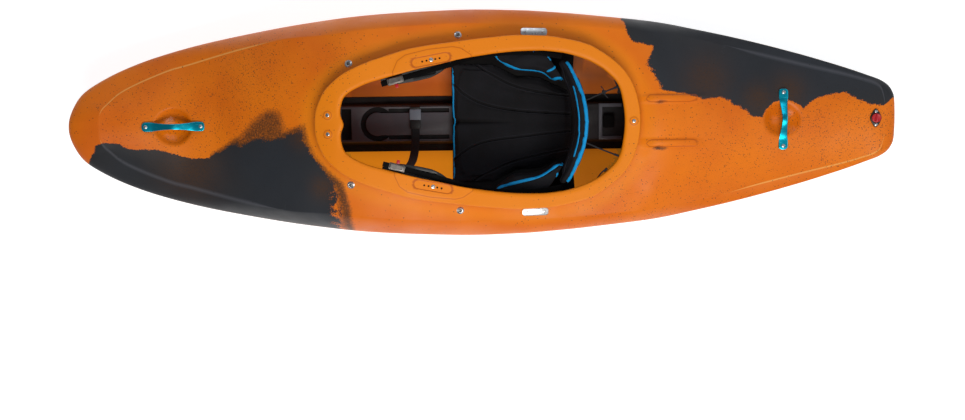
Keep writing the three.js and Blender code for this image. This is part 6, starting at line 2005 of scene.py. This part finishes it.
def knotPath(middle, size, steps=72):
    turns = np.linspace(0, 2 * math.pi, steps + 1)[:-1]
    x = middle[0] + size * (np.sin(turns) + 2 * np.sin(2 * turns))
    y = middle[1] + size * (np.cos(turns) - 2 * np.cos(2 * turns))
    return np.stack([x, y, middle[2] - size * 1.1 * np.sin(3 * turns)], 1)


def buildBackCord(name, sign):
    cord = backCord
    back = bandRearAt(cord["side"]) + band["thick"] * 0.04 + 0.9 + band["plateThick"] + cord["gap"]
    endX, endY = onLoop(inset(openingLoop, cord["gap"]), cord["turn"])
    start = np.array((back, sign * cord["side"], cord["front"]))
    rimEnd = np.array((float(endX), sign * float(endY), float(lipTopAt(endX)) - cord["drop"]))
    lowest = (start + rimEnd) / 2 - (0, 0, cord["sag"])
    line = resampled(softened3d([start, start + (cord["lead"], 0, 0), lowest + (0, 0, 2), rimEnd], 3), 2.5)
    pieces = [tube("cordRun", line, cord["radius"])]
    # The end is a rubber-tipped stub pulled tight against the rim; the left cord has a knot with two tails
    pieces.append(tube("cordStub", [rimEnd - (line[-1] - line[-6]) * 1.1, rimEnd], cord["radius"] * 1.5))
    if sign > 0:
        middle = line[int(len(line) * 0.56)]
        pieces.append(tube("knot", knotPath(middle, cord["knot"]), cord["knotRadius"], 10, True))
        for tail in cord["knotTails"]:
            bent = softened3d([middle, middle + (tail[0] * 0.2, tail[1] * 0.5, 3), middle + tail], 3)
            pieces.append(tube("knotTail", resampled(bent, 2.0), cord["knotRadius"] * 0.8, 10))
    else:
        # A second loop passes under the rim and shows its short end
        x, y, drop = cord["spareHead"]
        head = np.array((x, y, float(lipTopAt(x)) - cord["drop"] - drop))
        tail = head + cord["spareRun"]
        bowed = softened3d([head, (head + tail) / 2 + cord["spareBow"], tail], 2)
        pieces.append(tube("spareRun", resampled(bowed, 3.0), cord["radius"] * 0.9))
        pieces.append(tube("spareEnd", [head + (tail - head) * 0.3, head], cord["radius"] * 1.7))
    piece = joined(f"backCord{name.title()}", pieces)
    dress(piece, cordSheath, None, [f"back_cord_{name}"])
    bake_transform(piece, "backband", "root", start=tuple(start * mm), end=tuple(rimEnd * mm))


for sideName, sideSign in sides:
    buildBackCord(sideName, sideSign)


bottleStrap = {
    "middle": -215, "half": 12.5, "thick": 1.8, "near": 44, "lengths": (0.3, 32, 0.3, 26, 0.3), "top": 50.3
}
webStopShares = [
    (0, 0.016), (0.144, 0.019), (0.349, 0.045), (0.595, 0.14), (0.8, 0.35), (0.945, 0.64), (1, 1)
]


def buildBottleStrap():
    strap = bottleStrap
    start = np.array((strap["near"] - sum(strap["lengths"]), strap["top"]))
    edge = float(openingAt(strap["middle"])) - gripReachAt(strap["middle"])
    high = shelfAt(strap["middle"] + strap["half"]) - grip["thickness"] - 0.6
    run = np.array((-edge - strap["thick"], high)) - start
    stops = [
        (strap["middle"], start[0] + out * run[0], start[1] + rise * run[1]) for out, rise in webStopShares
    ]
    line = resampled(softened3d(stops, 3), 4.0)
    tangents = np.gradient(line, axis=0)
    ups = np.cross(np.tile((1.0, 0, 0), (len(line), 1)), tangents) * (-1, -1, -1)
    thick = strap["thick"] / 2
    outline = roundCorners(boxOutline(strap["half"] * 2, -thick, thick), 0.6, 3)
    piece = strip("bottleStrap", line, ups, outline)
    dress(piece, strapTape, None, ["bottle_strap"])
    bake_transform(piece, "buckle_clip", "root", start=tuple(line[0] * mm), end=tuple(line[-1] * mm))


buildBottleStrap()
print("straps and cords are made")


print("all pieces are made")
